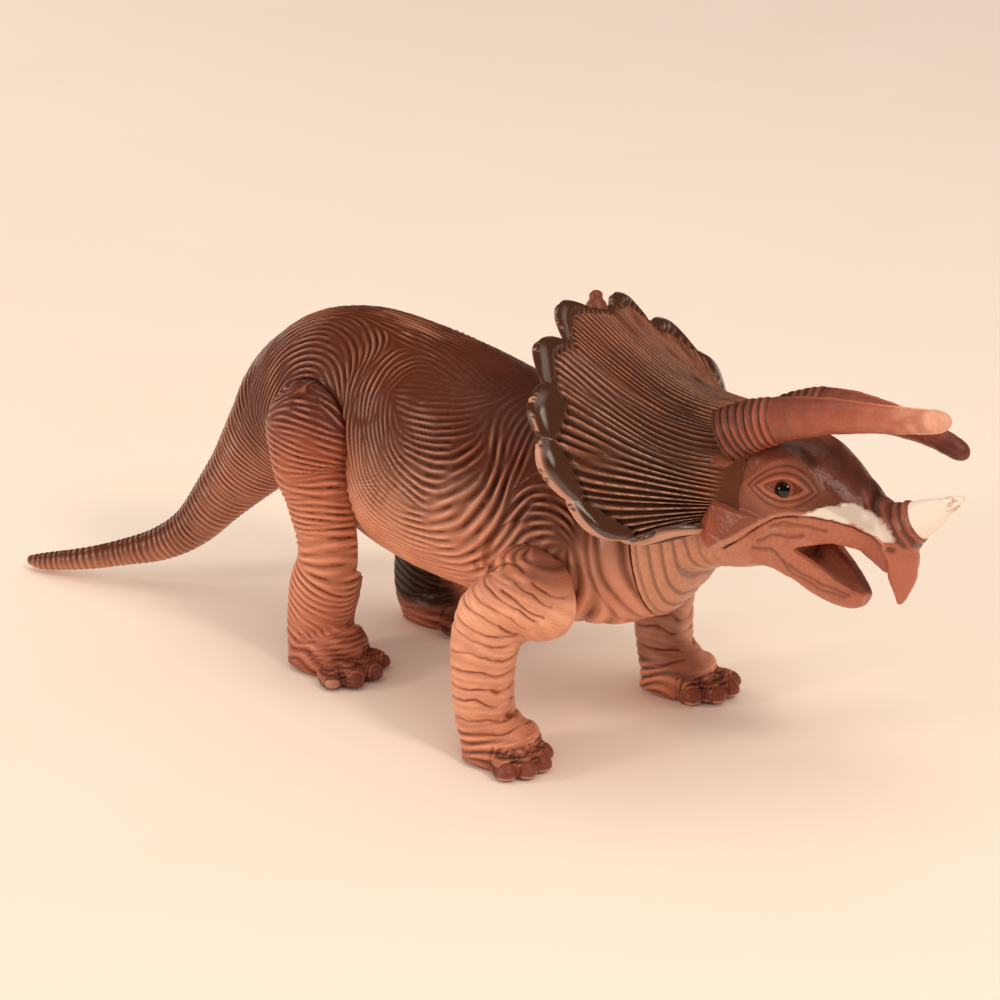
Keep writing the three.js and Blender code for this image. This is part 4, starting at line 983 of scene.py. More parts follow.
# Head and frill
# One dark moulding: the skull with its beak and cheeks, and the frill that fans out from the back of it
# It sits over the lower moulding along a seam that runs from the cheek horn over the lip to the beak
# Head places are forward, to the animal's left and up from a point inside the skull
# The head is turned a little to the left and tilted to its left side
HEAD_YAW, HEAD_TILT = np.radians(12.0), np.radians(11.0)
head_forward = np.array([np.cos(HEAD_YAW), np.sin(HEAD_YAW), 0])
level_left = np.array([-np.sin(HEAD_YAW), np.cos(HEAD_YAW), 0])
head_left = level_left * np.cos(HEAD_TILT) - Z_AXIS * np.sin(HEAD_TILT)
HEAD = np.stack([head_forward, head_left, np.cross(head_forward, head_left)])
head_origin = np.array([102.0, 0, 58.0])
skull_shares = [
    [0.03, 0, 0.26, 0.14, 0.1, 0.12, 2],
    [0.09, 0, 0.25, 0.2, 0.15, 0.2, 2.1],
    [0.17, 0, 0.24, 0.232, 0.175, 0.24, 2.2],
    [0.26, 0, 0.235, 0.225, 0.175, 0.235, 2.2],
    [0.35, 0, 0.23, 0.185, 0.17, 0.22, 2.2],
    [0.43, 0, 0.22, 0.152, 0.165, 0.19, 2.2],
    [0.5, 0, 0.205, 0.128, 0.135, 0.15, 2.1],
    [0.58, 0, 0.185, 0.1, 0.09, 0.12, 2],
    [0.64, 0, 0.165, 0.077, 0.075, 0.1, 2],
    [0.69, 0, 0.14, 0.055, 0.08, 0.1, 2],
    [0.72, 0, 0.115, 0.038, 0.075, 0.08, 2],
    [0.735, 0, 0.11, 0.015, 0.03, 0.03, 2],
]
beak_shares = [
    [0.63, 0, 0.15, 0.075, 0.05, 0.05, 2],
    [0.685, 0, 0.12, 0.055],
    [0.698, 0, 0.075, 0.042, 0.05, 0.05, 2],
    [0.705, 0, 0.035, 0.028, 0.036, 0.03, 2],
    [0.709, 0, 0.005, 0.016, 0.02, 0.018, 2],
    [0.706, 0, -0.02, 0.006, 0.007, 0.007, 2],
]
nose_root_shares = [[0.64, 0, 0.15, 0.078], [0.68, 0, 0.18, 0.07], [0.705, 0, 0.197, 0.062]]
nose_root_shares += [[0.732, 0, 0.214, 0.055]]
cheek_points = [(27, 30.5, 6), (25, 26, 20), (33, 22, 18), (38, 16, 17), (35, 16, 13), (22, 25.5, 13.5)]
cheek_points += [(24, 16, 8), (22, 16, 24)]
mouth_outline = [(44, 10), (53, 12.5), (60, 11.5), (64, 8), (66.5, 4), (67.8, 0.5), (68.8, -3.5), (72, -20)]
mouth_outline += [(66, -20), (63.5, -3.5), (61.5, -0.8), (53, 4.5)]
seam_line = [(17, 20), (21, 13), (27, 8), (31.1, 11.1), (35.4, 15), (38.6, 17.6), (42.1, 18.9), (47.8, 19.6)]
seam_line += [(53.2, 19.4), (58.6, 18.4), (64.2, 16.4), (66.8, 14.3), (67.5, 11)]
worn_patch = [(45.8, 19.8), (49.9, 22), (55, 22.5), (55.3, 24.5), (58.9, 23.4), (65.2, 21.2), (67.8, 19.2)]
worn_patch += [(70, 15.8), (67.4, 15.6), (62.7, 17), (58, 18.9), (52.3, 20)]
rim_shares = [
    [0, -0.275, 0.622],
    [0.08, -0.292, 0.632],
    [0.15, -0.312, 0.636],
    [0.2, -0.3, 0.612],
    [0.255, -0.258, 0.566],
    [0.31, -0.264, 0.562],
    [0.37, -0.262, 0.548],
    [0.425, -0.225, 0.506],
    [0.478, -0.19, 0.466],
    [0.54, -0.172, 0.404],
    [0.562, -0.13, 0.32],
    [0.556, -0.1, 0.25],
    [0.522, -0.043, 0.173],
    [0.48, 0.01, 0.113],
    [0.43, 0.055, 0.085],
    [0.38, 0.105, 0.082],
    [0.33, 0.175, 0.112],
    [0.285, 0.235, 0.12],
]
root_shares = [
    [0, 0.185, 0.405],
    [0.06, 0.19, 0.4],
    [0.12, 0.2, 0.38],
    [0.155, 0.21, 0.355],
    [0.178, 0.215, 0.33],
    [0.195, 0.22, 0.3],
    [0.205, 0.22, 0.275],
    [0.212, 0.22, 0.25],
    [0.216, 0.22, 0.225],
    [0.218, 0.225, 0.2],
    [0.218, 0.23, 0.18],
    [0.218, 0.235, 0.165],
    [0.216, 0.24, 0.155],
    [0.214, 0.25, 0.15],
    [0.21, 0.255, 0.145],
]
notch_shares = [0.04, 0.225, 0.45, 0.565, 0.69, 0.83, 1]


# Head places in the table's own frame
def in_head(points):
    return points @ HEAD + head_origin


def head_tube(shares, hint, count, around, grow=0.0):
    points, _ = rings(smooth_rows(shares, count), hint, around, grow)
    return tube(in_head(points))


# The smallest bulging body that holds all points
def hull(points):
    body = bmesh.new()
    for p in in_head(np.array(points, float)).tolist():
        body.verts.new(p)
    made = bmesh.ops.convex_hull(body, input=body.verts)
    buried = [v for v in made["geom_interior"] if isinstance(v, bmesh.types.BMVert)]
    bmesh.ops.delete(body, geom=buried, context="VERTS")
    body.verts.index_update()
    result = np.array([v.co[:] for v in body.verts]), [[v.index for v in f.verts] for f in body.faces]
    body.free()
    return result


# A side-view outline as a cutter right across the head
def prism(outline, reach=70.0):
    flat = np.array(outline, float)
    sides = [np.stack([flat[:, 0], v + 0 * flat[:, 0], flat[:, 1]], 1) for v in (-reach, reach)]
    n = len(flat)
    around = [[k, (k + 1) % n, n + (k + 1) % n, n + k] for k in range(n)]
    return in_head(np.concatenate(sides)), [list(range(n))[::-1], list(range(n, 2 * n))] + around


# Whether points lie inside an outline
def inside(outline, x, y):
    poly = np.array(outline, float)
    hits = np.zeros(x.shape, bool)
    for (x0, y0), (x1, y1) in zip(poly, np.roll(poly, -1, 0)):
        if y0 != y1:
            hits ^= ((y0 > y) != (y1 > y)) & (x < (x1 - x0) * (y - y0) / (y1 - y0) + x0)
    return hits


# Smooth waves through space, between -1 and 1, for places that no chart covers
def wobble(points, size, seed, waves=40):
    rng = np.random.default_rng(seed)
    ways = unit(rng.standard_normal((waves, 3))) * rng.uniform(0.6, 1.5, (waves, 1)) * 2 * np.pi / size
    return np.tanh(np.cos(points @ ways.T + rng.uniform(0, 6.28, waves)).sum(1) / np.sqrt(waves / 2))


HEAD_VOXEL = 0.42
mouth = prism(mouth_outline)
below_seam = prism([(-30, 36), (10, 34.5)] + seam_line + [(67.5, -50), (-30, -50)])
parts = [
    head_tube(skull_shares, Z_AXIS, 90, 90),
    head_tube(beak_shares, X_AXIS, 50, 48),
    head_tube(nose_root_shares, Z_AXIS, 24, 48),
]
for hand in (1, -1):
    parts.append(hull([[u, hand * v, w] for u, v, w in cheek_points]))
    parts.append(ellipsoid(in_head(np.array([22.0, hand * 15.5, 31.0])), (8.0, 7.0, 5.0)))
skull, skull_faces = merged(parts, HEAD_VOXEL, cutters=[mouth, below_seam])
place = (skull - head_origin) @ HEAD.T
u, v, w = place.T
aside = np.abs(v)
normal = surface_normals(skull, skull_faces)
near_side = ease(4, 8, aside)

# lids: pointed folds one inside the other round the eye
EYE = (40.9, 26.0)
lens = ((u - EYE[0]) / 8.4) ** 2 + np.abs(w - EYE[1]) / np.where(w > EYE[1], 5.6, 5.0)
upper_lid = ease(25.0, 28.0, w)
rise = (0.7 + 0.3 * upper_lid) * bell(lens - 0.5, 0.12) - 0.4 * bell(lens - 0.72, 0.06)
rise += 0.3 * bell(lens - 0.88, 0.1) - 0.4 * bell(lens - 1.06, 0.06)
rise += (0.1 + 0.3 * upper_lid) * bell(lens - 1.3, 0.16) - 0.7 * ease(0.38, 0.28, lens)
lids = near_side * (u > 28) * (u < 54)
relief = rise * lids
seam_edge = ease(1.3, 0.5, from_lines(u, w, [seam_line])) * near_side
relief += 0.25 * seam_edge
brow = from_lines(u, w, [[(31, 35.4), (35.8, 36.8), (39.4, 37), (42.8, 35.5), (46.1, 33)]])
relief -= 0.4 * bell(brow, 0.8) * near_side
nostril = np.sqrt(((u - 68.8) / 1.9) ** 2 + ((w - 13.3) / 1.2) ** 2)
relief += (0.25 * bell(nostril - 1, 0.25) - 0.5 * ease(0.85, 0.4, nostril)) * (aside > 2)
along_nose = (u - 64.0) * 0.84 + (w - 15.0) * 0.54
on_root = ease(15.5, 17, w + 0.35 * (u - 66)) * ease(1, 3, along_nose) * ease(11.5, 10.5, along_nose)
root_fold = np.cos(2 * np.pi * along_nose / 2.5)
relief += on_root * (0.35 * root_fold)
mottle = wobble(skull, 7.0, 41)
fine = wobble(skull, 1.3, 42, 80)
worn = sum(inside(worn_patch, u + k + 0.35 * fine, w + 0.5 * mottle) for k in (-0.5, 0, 0.5)) / 3
worn = worn * near_side * (0.7 + 0.3 * ease(-0.6, 0.2, mottle))
relief += 0.05 * fine + 0.12 * mottle - 0.1 * worn
skull_done = skull + normal * relief[:, None]

skull_shades = ["#6d3827", "#8a4833", "#8c4e38", "#643424", "#6b3828", "#9a543f", "#b3644b"]
skull_tint = tones(u + 2.5 * mottle, [5, 25, 40, 52, 60, 66, 71], skull_shades)
skull_tint = laid(skull_tint, "#b5664c", ease(15, 8, w) * ease(60, 66, u))
# a darker crown and a redder cheek
skull_tint = toned(skull_tint, -0.4 * ease(30, 38, w) * ease(30, 50, u))
cheek = ease(8, 4, np.hypot(u - 22, w - 12)) * ease(20, 24, aside)
skull_tint = laid(skull_tint, "#a9543d", 0.6 * cheek)
# painted highlights on the lid ridges and painted shade in the creases between them
lid_highlight = bell(lens - 0.5, 0.16) + 0.5 * bell(lens - 0.88, 0.12) + 0.3 * bell(lens - 1.28, 0.2)
lid_crease_shade = bell(lens - 0.72, 0.05) + 0.8 * bell(lens - 1.06, 0.05)
skull_tint = toned(toned(skull_tint, 0.75 * lids * lid_highlight), -0.45 * lids * np.clip(lid_crease_shade, 0, 1))
# painted shade in the valleys of the folds at the nose root
skull_tint = toned(toned(skull_tint, -0.45 * on_root), 0.45 * on_root * root_fold)
# painted shade in the crease under the brow
skull_tint = toned(skull_tint, -0.5 * bell(brow, 1.0) * near_side)
# a pale line along the seam, partly rubbed paint and partly a painted highlight on its edge, and the worn
# white patch on the snout
skull_tint = laid(laid(skull_tint, "#c98468", 0.8 * seam_edge), "#efe0d2", 0.95 * worn)
# painted shade in the nostril
skull_tint = toned(skull_tint, -0.5 * ease(0.9, 0.4, nostril) * (aside > 2))
skull_finish = 0.27 + 0.25 * worn

# the frill: columns of points from the skull out to the rim, round its edge, and back behind
COLUMNS, OUT, LIP, BACK = 820, 66, 5, 20
# how deep the frill is dished, its half thickness, and how much more the inner part has, in millimetres
DISH, HALF_THICK, THICKER = 3.5, 0.7, 0.9


# A line of the frill from the middle of the top, where away is 0, to the cheek, where it is 1
def half_frill(shares, away):
    return (between(np.array(shares), away * (len(shares) - 1)) * SIZE)[:, [1, 0, 2]]


fine_away = np.linspace(0, 1, 2000)
rim_run = travelled(half_frill(rim_shares, fine_away))
away = np.interp(np.linspace(0, rim_run[-1], COLUMNS // 2 + 1), rim_run, fine_away)
away = np.concatenate([away[:0:-1], away])
mirrored = np.sign(np.arange(len(away)) - COLUMNS // 2)[:, None] * [0, 1, 0] + [1, 0, 1]
rim, root = half_frill(rim_shares, away) * mirrored, half_frill(root_shares, away) * mirrored
outward = unit(rim - root)
facing = unit(np.cross(np.gradient(rim, axis=0), outward))
facing = facing * np.sign(facing[COLUMNS // 2, 2])
for _ in range(12):
    facing[1:-1] = unit(facing[:-2] + 2 * facing[1:-1] + facing[2:])
# the rim swells out between its notches
after = np.clip(np.searchsorted(notch_shares, away, "right"), 1, len(notch_shares) - 1)
notch, next_notch = np.array(notch_shares)[[after - 1, after]]
swell = np.abs(np.sin((away - notch) / (next_notch - notch) * np.pi)) ** 0.6
swell = np.where(away < 0.04, 0.35, swell)
puff = swell**1.6
tip = rim + outward * (2.6 * (swell - 0.6) - 1.6)[:, None]
base = root - outward * 6.0
reach = np.linalg.norm(tip - base, axis=1)[:, None]
t = np.linspace(0, 1, OUT)[None]
from_rim = reach * (1 - t)
fillet = np.interp(away, [0, 0.15, 0.3, 0.45, 0.6, 1], [4.5, 6, 8.5, 7, 4.5, 3])[:, None]
sink = np.interp(away, [0, 0.78, 0.9, 1], [1, 1, 0.3, 0.1])[:, None]
dish = fillet * np.clip(1 - t / 0.42, 0, 1) ** 2 - DISH * sink * np.sin(np.pi * t)
boss_width = np.interp(away, [0, 0.2, 0.43, 0.48, 0.8, 0.86], [0.4, 0.5, 0.6, 1, 1, 0.55])
boss_depth = ((4.0 + 6.5 * swell) * boss_width)[:, None]
boss = ease(0, 1, np.clip((boss_depth - from_rim) / 1.2, 0, 1))
# the ribs run from the skull to the rim, on a chart along the middle of the frill
rib_run = travelled(base * 0.42 + tip * 0.58)
frill_chart = (int(70 / STEP), int(rib_run[-1] / STEP) + 2)
rib_place = np.interp(np.arange(frill_chart[1]) * STEP, rib_run, away)
rib_spacing = np.interp(rib_place, [0, 0.3, 0.55, 0.9], [1.9, 2.0, 2.5, 2.7]) + np.zeros(frill_chart)
rib_lines = folds(np.full(frill_chart, np.pi / 2), rib_spacing, 52, rounds=8, loose=1.2)
rib = sample(rib_lines, (from_rim / STEP), (rib_run[:, None] / STEP) + 0 * t)
crest, gap = np.clip((rib + 0.4) / 1.4, 0, 1) ** 0.8, np.clip((-rib - 0.2) / 0.9, 0, 1)
fade = (1 - boss) * ease(0.06, 0.16, t)
inner_crease = bell(from_rim - boss_depth - 0.3, 0.5)
dome = np.sqrt(np.clip(1 - (from_rim / boss_depth * 1.7 - 0.75) ** 2, 0, 1)) * (0.15 + 0.85 * puff[:, None])


# Points a share of the way from the skull to the rim, raised by a height
def frill_face(share, height):
    share = share[..., None]
    return base[:, None] * (1 - share) + tip[:, None] * share + facing[:, None] * height[..., None]


level = HALF_THICK + THICKER * sink * ease(0, 3.5, from_rim)
front_rise = level + fade * (0.6 * crest - 0.5 * gap) + boss * 2.0 * dome - 0.7 * inner_crease
front = frill_face(t, dish + front_rise)
arc = np.linspace(0, np.pi, LIP + 2)[1:-1, None]
lip = tip[:, None] + HALF_THICK * (outward[:, None] * np.sin(arc) + facing[:, None] * np.cos(arc))
t_back = np.linspace(1, 0, BACK)[None]
drop = HALF_THICK + THICKER * sink * ease(0, 3.5, reach * (1 - t_back))
behind = frill_face(t_back, -DISH * sink * np.sin(np.pi * t_back) - drop)
frill_grid = np.concatenate([front, lip, behind], 1)
frill_points = in_head(frill_grid.reshape(-1, 3))
shape = frill_grid.shape[:2]
frill_noise = wobble(frill_points, 9.0, 61).reshape(shape)
frill_fine = wobble(frill_points, 1.6, 62, 60).reshape(shape)
frill_tint = np.zeros((*shape, 3)) + rgb("#492b1c")
column = away[:, None]
# the ribbed face: warmer near the skull and the top, with painted highlights on the ribs and painted shade
# between them
warm = (1 - boss) * ease(0.9, 0.2, column) * ease(0.2, 0.9, t) * 0.6 + 0.5 * ease(0.3, 0.1, t)
rib_tone = fade * ((2.8 + 1.6 * ease(0.5, 0.8, column)) * crest**2.5 - 0.85 * gap)
face = toned(laid(frill_tint[:, :OUT], "#74412d", warm), rib_tone * (0.75 + 0.25 * frill_noise[:, :OUT]))
# broken painted highlights along the tops of the ribs
rib_highlight = ease(0.8, 1.0, crest) * ease(-0.2, 0.5, frill_fine[:, :OUT]) * fade
face = laid(face, "#cfa58a", rib_highlight * (0.35 + 0.35 * ease(0.3, 0.8, column)))
# painted shade in the crease inside the bosses
frill_tint[:, :OUT] = toned(face, -0.6 * inner_crease)
# the rim is rubbed through to bare vinyl, most of all low down beside the cheek
low_rim = ease(0.42, 0.75, column)
rubbed = np.zeros(shape)
rubbed[:, :OUT] = ease(0.5 + 0.8 * low_rim, 0.1 + 0.4 * low_rim, from_rim) * ease(0.95, 0.8, column)
rubbed[:, OUT : OUT + LIP + 1] = 1.0
rubbed = rubbed * ease(0.1, 0.6, frill_noise + 0.5 * frill_fine + 2.0 * low_rim - 0.75) * 0.85
frill_tint = laid(frill_tint, "#d69a80", rubbed)
frill_finish = np.full(shape, 0.17) + 0.25 * rubbed
frill_finish[:, :OUT] -= 0.03 * boss
frill_finish[:, OUT + LIP :] += 0.1

# a small turned knob stands up at the top of the rim
nub_shares = [[-0.268, 0, 0.57, 0.03], [-0.272, 0, 0.6, 0.033], [-0.278, 0, 0.632, 0.028]]
nub_shares += [[-0.28, 0, 0.645, 0.019], [-0.282, 0, 0.66, 0.018], [-0.284, 0, 0.669, 0.006]]
nub_points, nub_faces = head_tube(nub_shares, X_AXIS, 24, 24)
frill_faces = tube(frill_grid)[1]
bodies = [(skull_done, skull_faces.tolist()), (frill_points, frill_faces), (nub_points, nub_faces)]
head_points, head_faces = [], []
for points, faces in bodies:
    head_faces += [[len(head_points) + k for k in face] for face in faces]
    head_points += points.tolist()

# dark brown spray, shinier on the frill, rubbed through to pale vinyl along the rim and on the snout
head_vinyl = vinyl("dark_vinyl_head", 0.3, speck=0.2)
finish = add(head_vinyl.node_tree, "ShaderNodeVertexColor", {"layer_name": "finish"})
rough = head_vinyl.node_tree.nodes["Principled BSDF"].inputs["Roughness"]
feed(head_vinyl.node_tree, rough, finish.outputs["Color"])

head = mesh_object("head_and_frill_skin", np.array(head_points), head_faces, head_vinyl)
nub_tint = np.tile(rgb("#7d3f2d"), (len(nub_points), 1))
frill_shine = np.full(shape, 0.4)
frill_shine[:, :OUT] = 0.1 + 0.9 * np.maximum(fade * crest, boss) * (1 - 0.8 * np.clip(inner_crease, 0, 1))
frill_coat = with_shine(frill_tint, frill_shine).reshape(-1, 4)
paint(head, "coat", np.concatenate([with_shine(skull_tint, 0.5), frill_coat, with_shine(nub_tint, 0.5)]))
finishes = np.concatenate([skull_finish, frill_finish.ravel(), np.full(len(nub_points), 0.35)])
paint(head, "finish", np.repeat(finishes[:, None], 3, 1))
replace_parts(head, "head_and_frill")
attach(head, "head")

# Neck and lower jaw
# The salmon lower moulding plugs into the torso's neck ring and carries the throat, the lower jaw and the lip
# Soft pleats run round the neck beside the ring, and the jaw is a shallow trough with long creased sides
NECK_RADIUS, NECK_GAP, NECK_LENGTH = 21.2, 0.35, 8.0
# The throat narrows into the jaw's floor, and a second body is cut out of it as the mouth's trough
throat_shares = [
    [0.16, 0, 0.13, 0.235, 0.24, 0.17, 2],
    [0.23, 0, 0.12, 0.215, 0.2, 0.125, 2.1],
    [0.31, 0, 0.12, 0.195, 0.12, 0.11, 2.2],
    [0.38, 0, 0.1, 0.17, 0.1, 0.085, 2.2],
    [0.45, 0, 0.07, 0.14, 0.09, 0.08, 2.2],
    [0.52, 0, 0.02, 0.105, 0.08, 0.065, 2.1],
    [0.58, 0, -0.01, 0.065, 0.06, 0.05, 2],
    [0.615, 0, -0.02, 0.03, 0.028, 0.025, 2],
]
trough_shares = [
    [0.4, 0, 0.09, 0.12, 0.05, 0.03, 2],
    [0.46, 0, 0.085, 0.105, 0.05, 0.035, 2],
    [0.52, 0, 0.055, 0.075, 0.05, 0.03, 2],
    [0.57, 0, 0.03, 0.045, 0.04, 0.025, 2],
    [0.6, 0, 0.015, 0.015, 0.02, 0.012, 2],
]
jaw_creases = [
    [(34.8, 9.4), (38.7, 9.4), (40.5, 8.6), (41.5, 7.3), (43.3, 5.5)],
    [(41.5, 7.3), (44.7, 3), (48.9, 1.1), (53.5, -0.8), (57.9, -1.6)],
    [(44.2, 5.7), (48.1, 3.1), (52.7, 1.2), (58.7, -0.8)],
    [(36, 11.5), (39.5, 13.1), (42.6, 13.3), (46, 13.3)],
    [(38.2, 15.4), (41.4, 16.4), (46, 16.2), (52, 15.6)],
]
neck_left = unit(np.cross(Z_AXIS, neck_forward))
neck_up = np.cross(neck_forward, neck_left)
throat, _ = rings(smooth_rows(throat_shares, 60), Z_AXIS, 90)
throat_ring = in_head(throat[0])
angle = np.arange(90) / 90 * 2 * np.pi
spokes = NECK_RADIUS * (np.cos(angle)[:, None] * neck_left + np.sin(angle)[:, None] * neck_up)
neck_rings = []
for share in np.linspace(0, 1, 24):
    circle = neck_centre + neck_forward * (NECK_GAP + share * NECK_LENGTH) + spokes
    neck_rings.append(circle * (1 - share**1.5) + throat_ring * share**1.5)
under_skull = head_tube(skull_shares, Z_AXIS, 90, 90, grow=-0.5)
parts = [tube(in_head(throat)), tube(np.array(neck_rings)), under_skull]
far_round = [(67, -50), (120, -50), (120, 100), (-60, 100)]
above_seam = prism([(-60, 36), (10, 34)] + [(a, b - 0.5) for a, b in seam_line] + far_round)
trough = head_tube(trough_shares, Z_AXIS, 30, 40)
jaw, jaw_faces = merged(parts, HEAD_VOXEL, cutters=[above_seam, mouth, trough])
behind_ring = (jaw - neck_centre) @ neck_forward
jaw = jaw - np.minimum(behind_ring - NECK_GAP, 0)[:, None] * neck_forward
u, v, w = ((jaw - head_origin) @ HEAD.T).T
normal = surface_normals(jaw, jaw_faces)
mottle, fine = wobble(jaw, 8.0, 71), wobble(jaw, 1.4, 72, 60)
from_ring = (jaw - neck_centre) @ neck_forward
radial = unit(jaw - neck_centre - from_ring[:, None] * neck_forward)
lengthwise = radial @ neck_up
slow = wobble(jaw, 26.0, 73)
pleat = np.cos(2 * np.pi * (from_ring + 0.5 * slow * ease(2, 8, from_ring)) / 3.8)
pleats = ease(1.0, 2.5, from_ring) * ease(30, 16, from_ring) * ease(38, 30, u)
groove = ease(-0.35, -0.98, pleat)
crease_gap = from_lines(u, w + 0.25 * mottle, jaw_creases)
crease = bell(crease_gap, 0.45) * (np.abs(v) > 2)
relief = pleats * (0.2 * pleat - 0.15 * groove) - 0.4 * crease
relief += 0.15 * ease(2.2, 0.8, crease_gap) * (1 - crease) + 0.04 * fine + 0.1 * mottle
relief = relief * ease(0.36, 1.2, from_ring)
jaw_done = jaw + normal * relief[:, None]
jaw_shades = ["#cf8f70", "#c98668", "#bd7458", "#b86c51", "#b3664c", "#a85a44"]
jaw_tint = tones(u + 3 * mottle, [0, 25, 36, 46, 56, 62], jaw_shades)
jaw_tint = toned(jaw_tint, -0.55 * ease(0.1, 0.9, lengthwise) * ease(30, 22, u))
# painted shade in the jaw creases and between the neck pleats
jaw_tint = toned(toned(jaw_tint, -0.42 * crease), -0.5 * groove * pleats)
# painted shade inside the mouth
inside_mouth = inside([(43, 9.5), (53, 12), (60, 8), (61, -0.5), (53, 4), (46, 7)], u, w) * (np.abs(v) < 9)
jaw_tint = toned(toned(jaw_tint, -0.4 * inside_mouth), 0.08 * fine)
# bare salmon vinyl, a little redder at the lips, with a soft satin shine
jaw_vinyl = vinyl("salmon_vinyl_jaw", 0.38, speck=0.2, shine=False)
jaw_item = mesh_object("neck_and_lower_jaw_skin", jaw_done, jaw_faces, jaw_vinyl)
paint(jaw_item, "coat", jaw_tint)
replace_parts(jaw_item, "neck_and_lower_jaw")
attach(jaw_item, "head")

# Brow horns
# Each is its own curved horn of painted vinyl, pushed into the skull with a peg
# Seven raised rings go round the root, and a mould line runs along the top
# Shares: forward, to the left, up, radius
horn_right_shares = [
    [0.24, -0.18, 0.375, 0.074],
    [0.3, -0.18, 0.41, 0.068],
    [0.37, -0.178, 0.437, 0.061],
    [0.44, -0.172, 0.456, 0.055],
    [0.52, -0.166, 0.472, 0.048],
    [0.62, -0.16, 0.484, 0.04],
    [0.71, -0.152, 0.492, 0.035],
    [0.79, -0.145, 0.502, 0.032],
    [0.845, -0.14, 0.51, 0.02944],
]
horn_left_shares = [
    [0.235, 0.18, 0.365, 0.073],
    [0.29, 0.18, 0.4, 0.067],
    [0.36, 0.178, 0.428, 0.06],
    [0.444, 0.168, 0.44, 0.052],
    [0.535, 0.16, 0.438, 0.045],
    [0.61, 0.154, 0.43, 0.038],
    [0.685, 0.148, 0.414, 0.032],
    [0.75, 0.142, 0.396, 0.029],
    [0.795, 0.14, 0.376, 0.02668],
]
# brown wash over salmon, thinning to the bare pale tip
horn_vinyl = vinyl("horn_vinyl_brown", 0.36, speck=0.2, shine=False, specks=700.0)
HORN_STATIONS, HORN_AROUND, RING_STEP = 300, 72, 2.0


def brow_horn(name, shares, shades, seed):
    rows = smooth_rows(shares, HORN_STATIONS)
    run = travelled(rows[:, :3] * SIZE)
    length = run[-1]
    radius = rows[:, 3] * SIZE
    # the tip is rounded off
    dome = 1.5 * radius[-1]
    blunt = np.sqrt(np.clip(1 - (np.clip(run - (length - dome), 0, None) / dome) ** 2, 0.002, 1))
    # rings with round backs and sharp valleys between them
    ring_at = (run - 0.6) / RING_STEP
    ringed = ease(-0.5, 0.2, ring_at) * ease(7.6, 6.8, ring_at)
    saw = np.abs(np.sin(ring_at * np.pi)) ** 0.55
    radius = radius * blunt + ringed * (0.75 * saw - 0.45)
    rows[:, 3:6] = radius[:, None] / SIZE
    points, _ = rings(rows, Z_AXIS, HORN_AROUND)
    points, faces = tube(in_head(points))
    turn = np.tile(np.arange(HORN_AROUND) / HORN_AROUND * 2 * np.pi, HORN_STATIONS)
    run, ringed, saw = (np.repeat(x, HORN_AROUND) for x in (run, ringed, saw))
    centre = np.repeat(in_head(rows[:, :3] * SIZE), HORN_AROUND, 0)
    line = bell(turn - 1.75, 0.08) * ease(14, 22, run) * ease(length - 2, length - 8, run)
    mottle, fine = wobble(points, 6.0, seed), wobble(points, 1.5, seed + 1, 60)
    points = points + unit(points - centre) * (0.32 * line + 0.08 * mottle + 0.03 * fine)[:, None]
    tint = tones(run / length + 0.05 * mottle, [0.05, 0.2, 0.4, 0.62, 0.8, 0.92, 1.0], shades)
    high = ease(-0.1, 0.9, np.sin(turn)) * ease(0.8, 0.4, run / length)
    grooves, crests = ringed * ease(0.75, 0.2, saw), ringed * ease(0.8, 1, saw)
    # painted shade in the valleys between the rings and painted highlights on their crests, with a darker top
    # and a lighter mould line
    for gain in (-0.35 * high, -0.55 * grooves, 0.8 * crests, 0.9 * line, 0.06 * fine):
        tint = toned(tint, gain)
    horn = mesh_object(name, points, faces, horn_vinyl)
    paint(horn, "coat", tint)
    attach(horn, "head")
    return horn


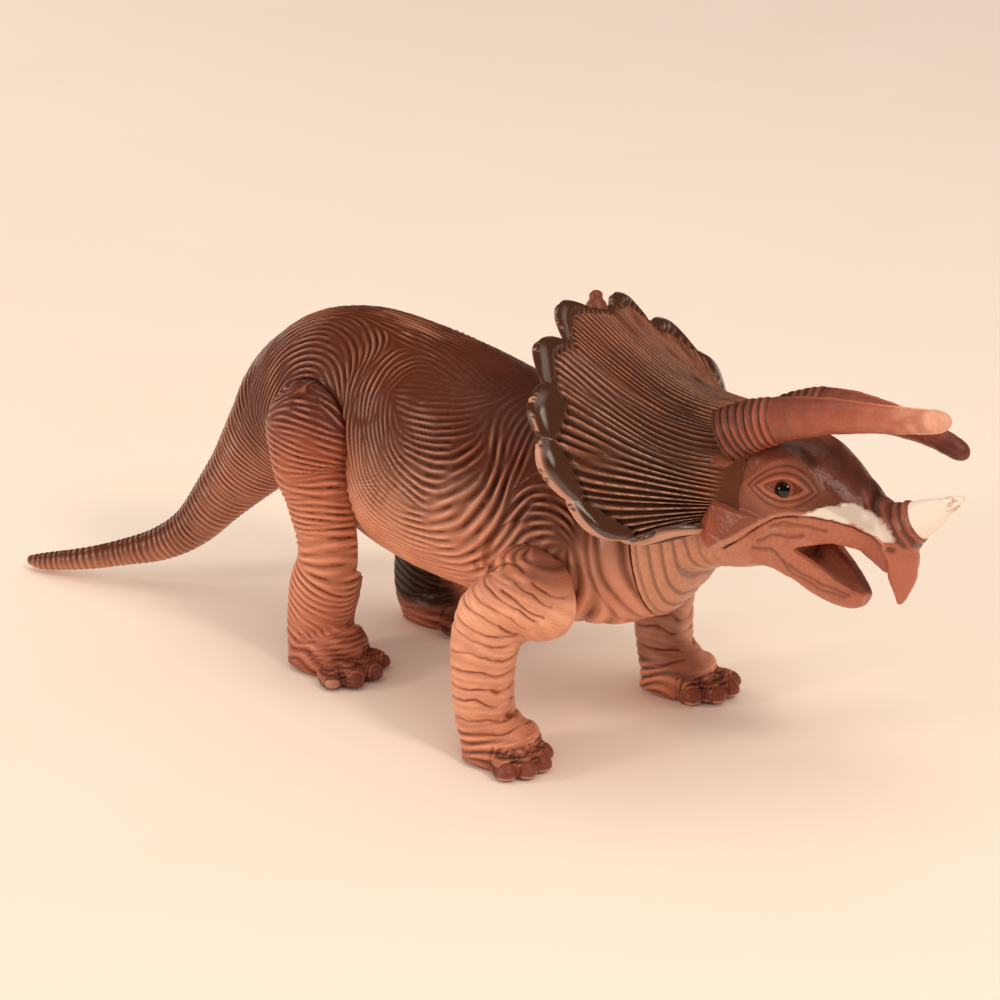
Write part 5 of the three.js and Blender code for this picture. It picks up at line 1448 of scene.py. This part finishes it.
near_shades = ["#663222", "#87452f", "#9f523b", "#ad5c45", "#bb6f56", "#e0a083", "#eaaa8c"]
far_shades = ["#5a2b20", "#84422f", "#a5553f", "#a5553f", "#8a4534", "#6d3629", "#6d3629"]
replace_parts(brow_horn("brow_horn_right_skin", horn_right_shares, near_shades, 81), "brow_horn_right")
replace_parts(brow_horn("brow_horn_left_skin", horn_left_shares, far_shades, 84), "brow_horn_left")

# Nose horn
# A separate smooth cone of creamy white vinyl
# It is plugged with a peg into the folded root on the snout
nose_shares = [
    [0.728, 0, 0.211, 0.05],
    [0.735, 0, 0.215, 0.052],
    [0.765, 0, 0.235, 0.043],
    [0.8, 0, 0.26, 0.028],
    [0.835, 0, 0.284, 0.014],
    [0.85, 0, 0.292, 0.006],
]
CONE_STATIONS, CONE_AROUND = 80, 56
# creamy white with greyish pink scuffs near the point
white_vinyl = vinyl("white_vinyl_cone", 0.42, speck=0, shine=False)
points, faces = head_tube(nose_shares, Z_AXIS, CONE_STATIONS, CONE_AROUND)
along = np.repeat(np.linspace(0, 1, CONE_STATIONS), CONE_AROUND)
mottle, fine = wobble(points, 2.6, 91), wobble(points, 0.9, 92, 60)
scuff = ease(0.5, 0.9, along) * ease(0.0, 0.9, mottle + 0.6 * fine)
cone = mesh_object("nose_horn_skin", points, faces, white_vinyl)
paint(cone, "coat", laid(rgb("#f6e7d8"), "#c79a8b", scuff))
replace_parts(cone, "nose_horn")
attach(cone, "head")

# Eyes
# Glossy black beads of hard plastic, one on each side of the skull
# Each is pressed into a socket between the lids, so that only its outer part shows
BEAD_RADIUS, BEAD_PLACE = 2.7, (40.8, 14.8, 25.6)
# deep black in the middle with a hard bright glint, and the brown of the lids round its edge
bead_black = vinyl("black_bead", 0.08, speck=0, shine=False)
for side_name, hand in (("right", -1), ("left", 1)):
    centre = in_head(np.array(BEAD_PLACE) * [1, hand, 1])
    points, faces = ellipsoid(centre, [BEAD_RADIUS] * 3, count=24)
    bead = mesh_object(f"eye_{side_name}_bead", points, faces, bead_black)
    off = (points - centre) @ HEAD.T
    pupil = ease(2.35, 2.15, np.hypot(off[:, 0], off[:, 2])) * (hand * off[:, 1] > 0)
    paint(bead, "coat", laid(rgb("#8c4d39"), "#120d0c", pupil))
    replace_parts(bead, f"eye_{side_name}")
    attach(bead, "head")
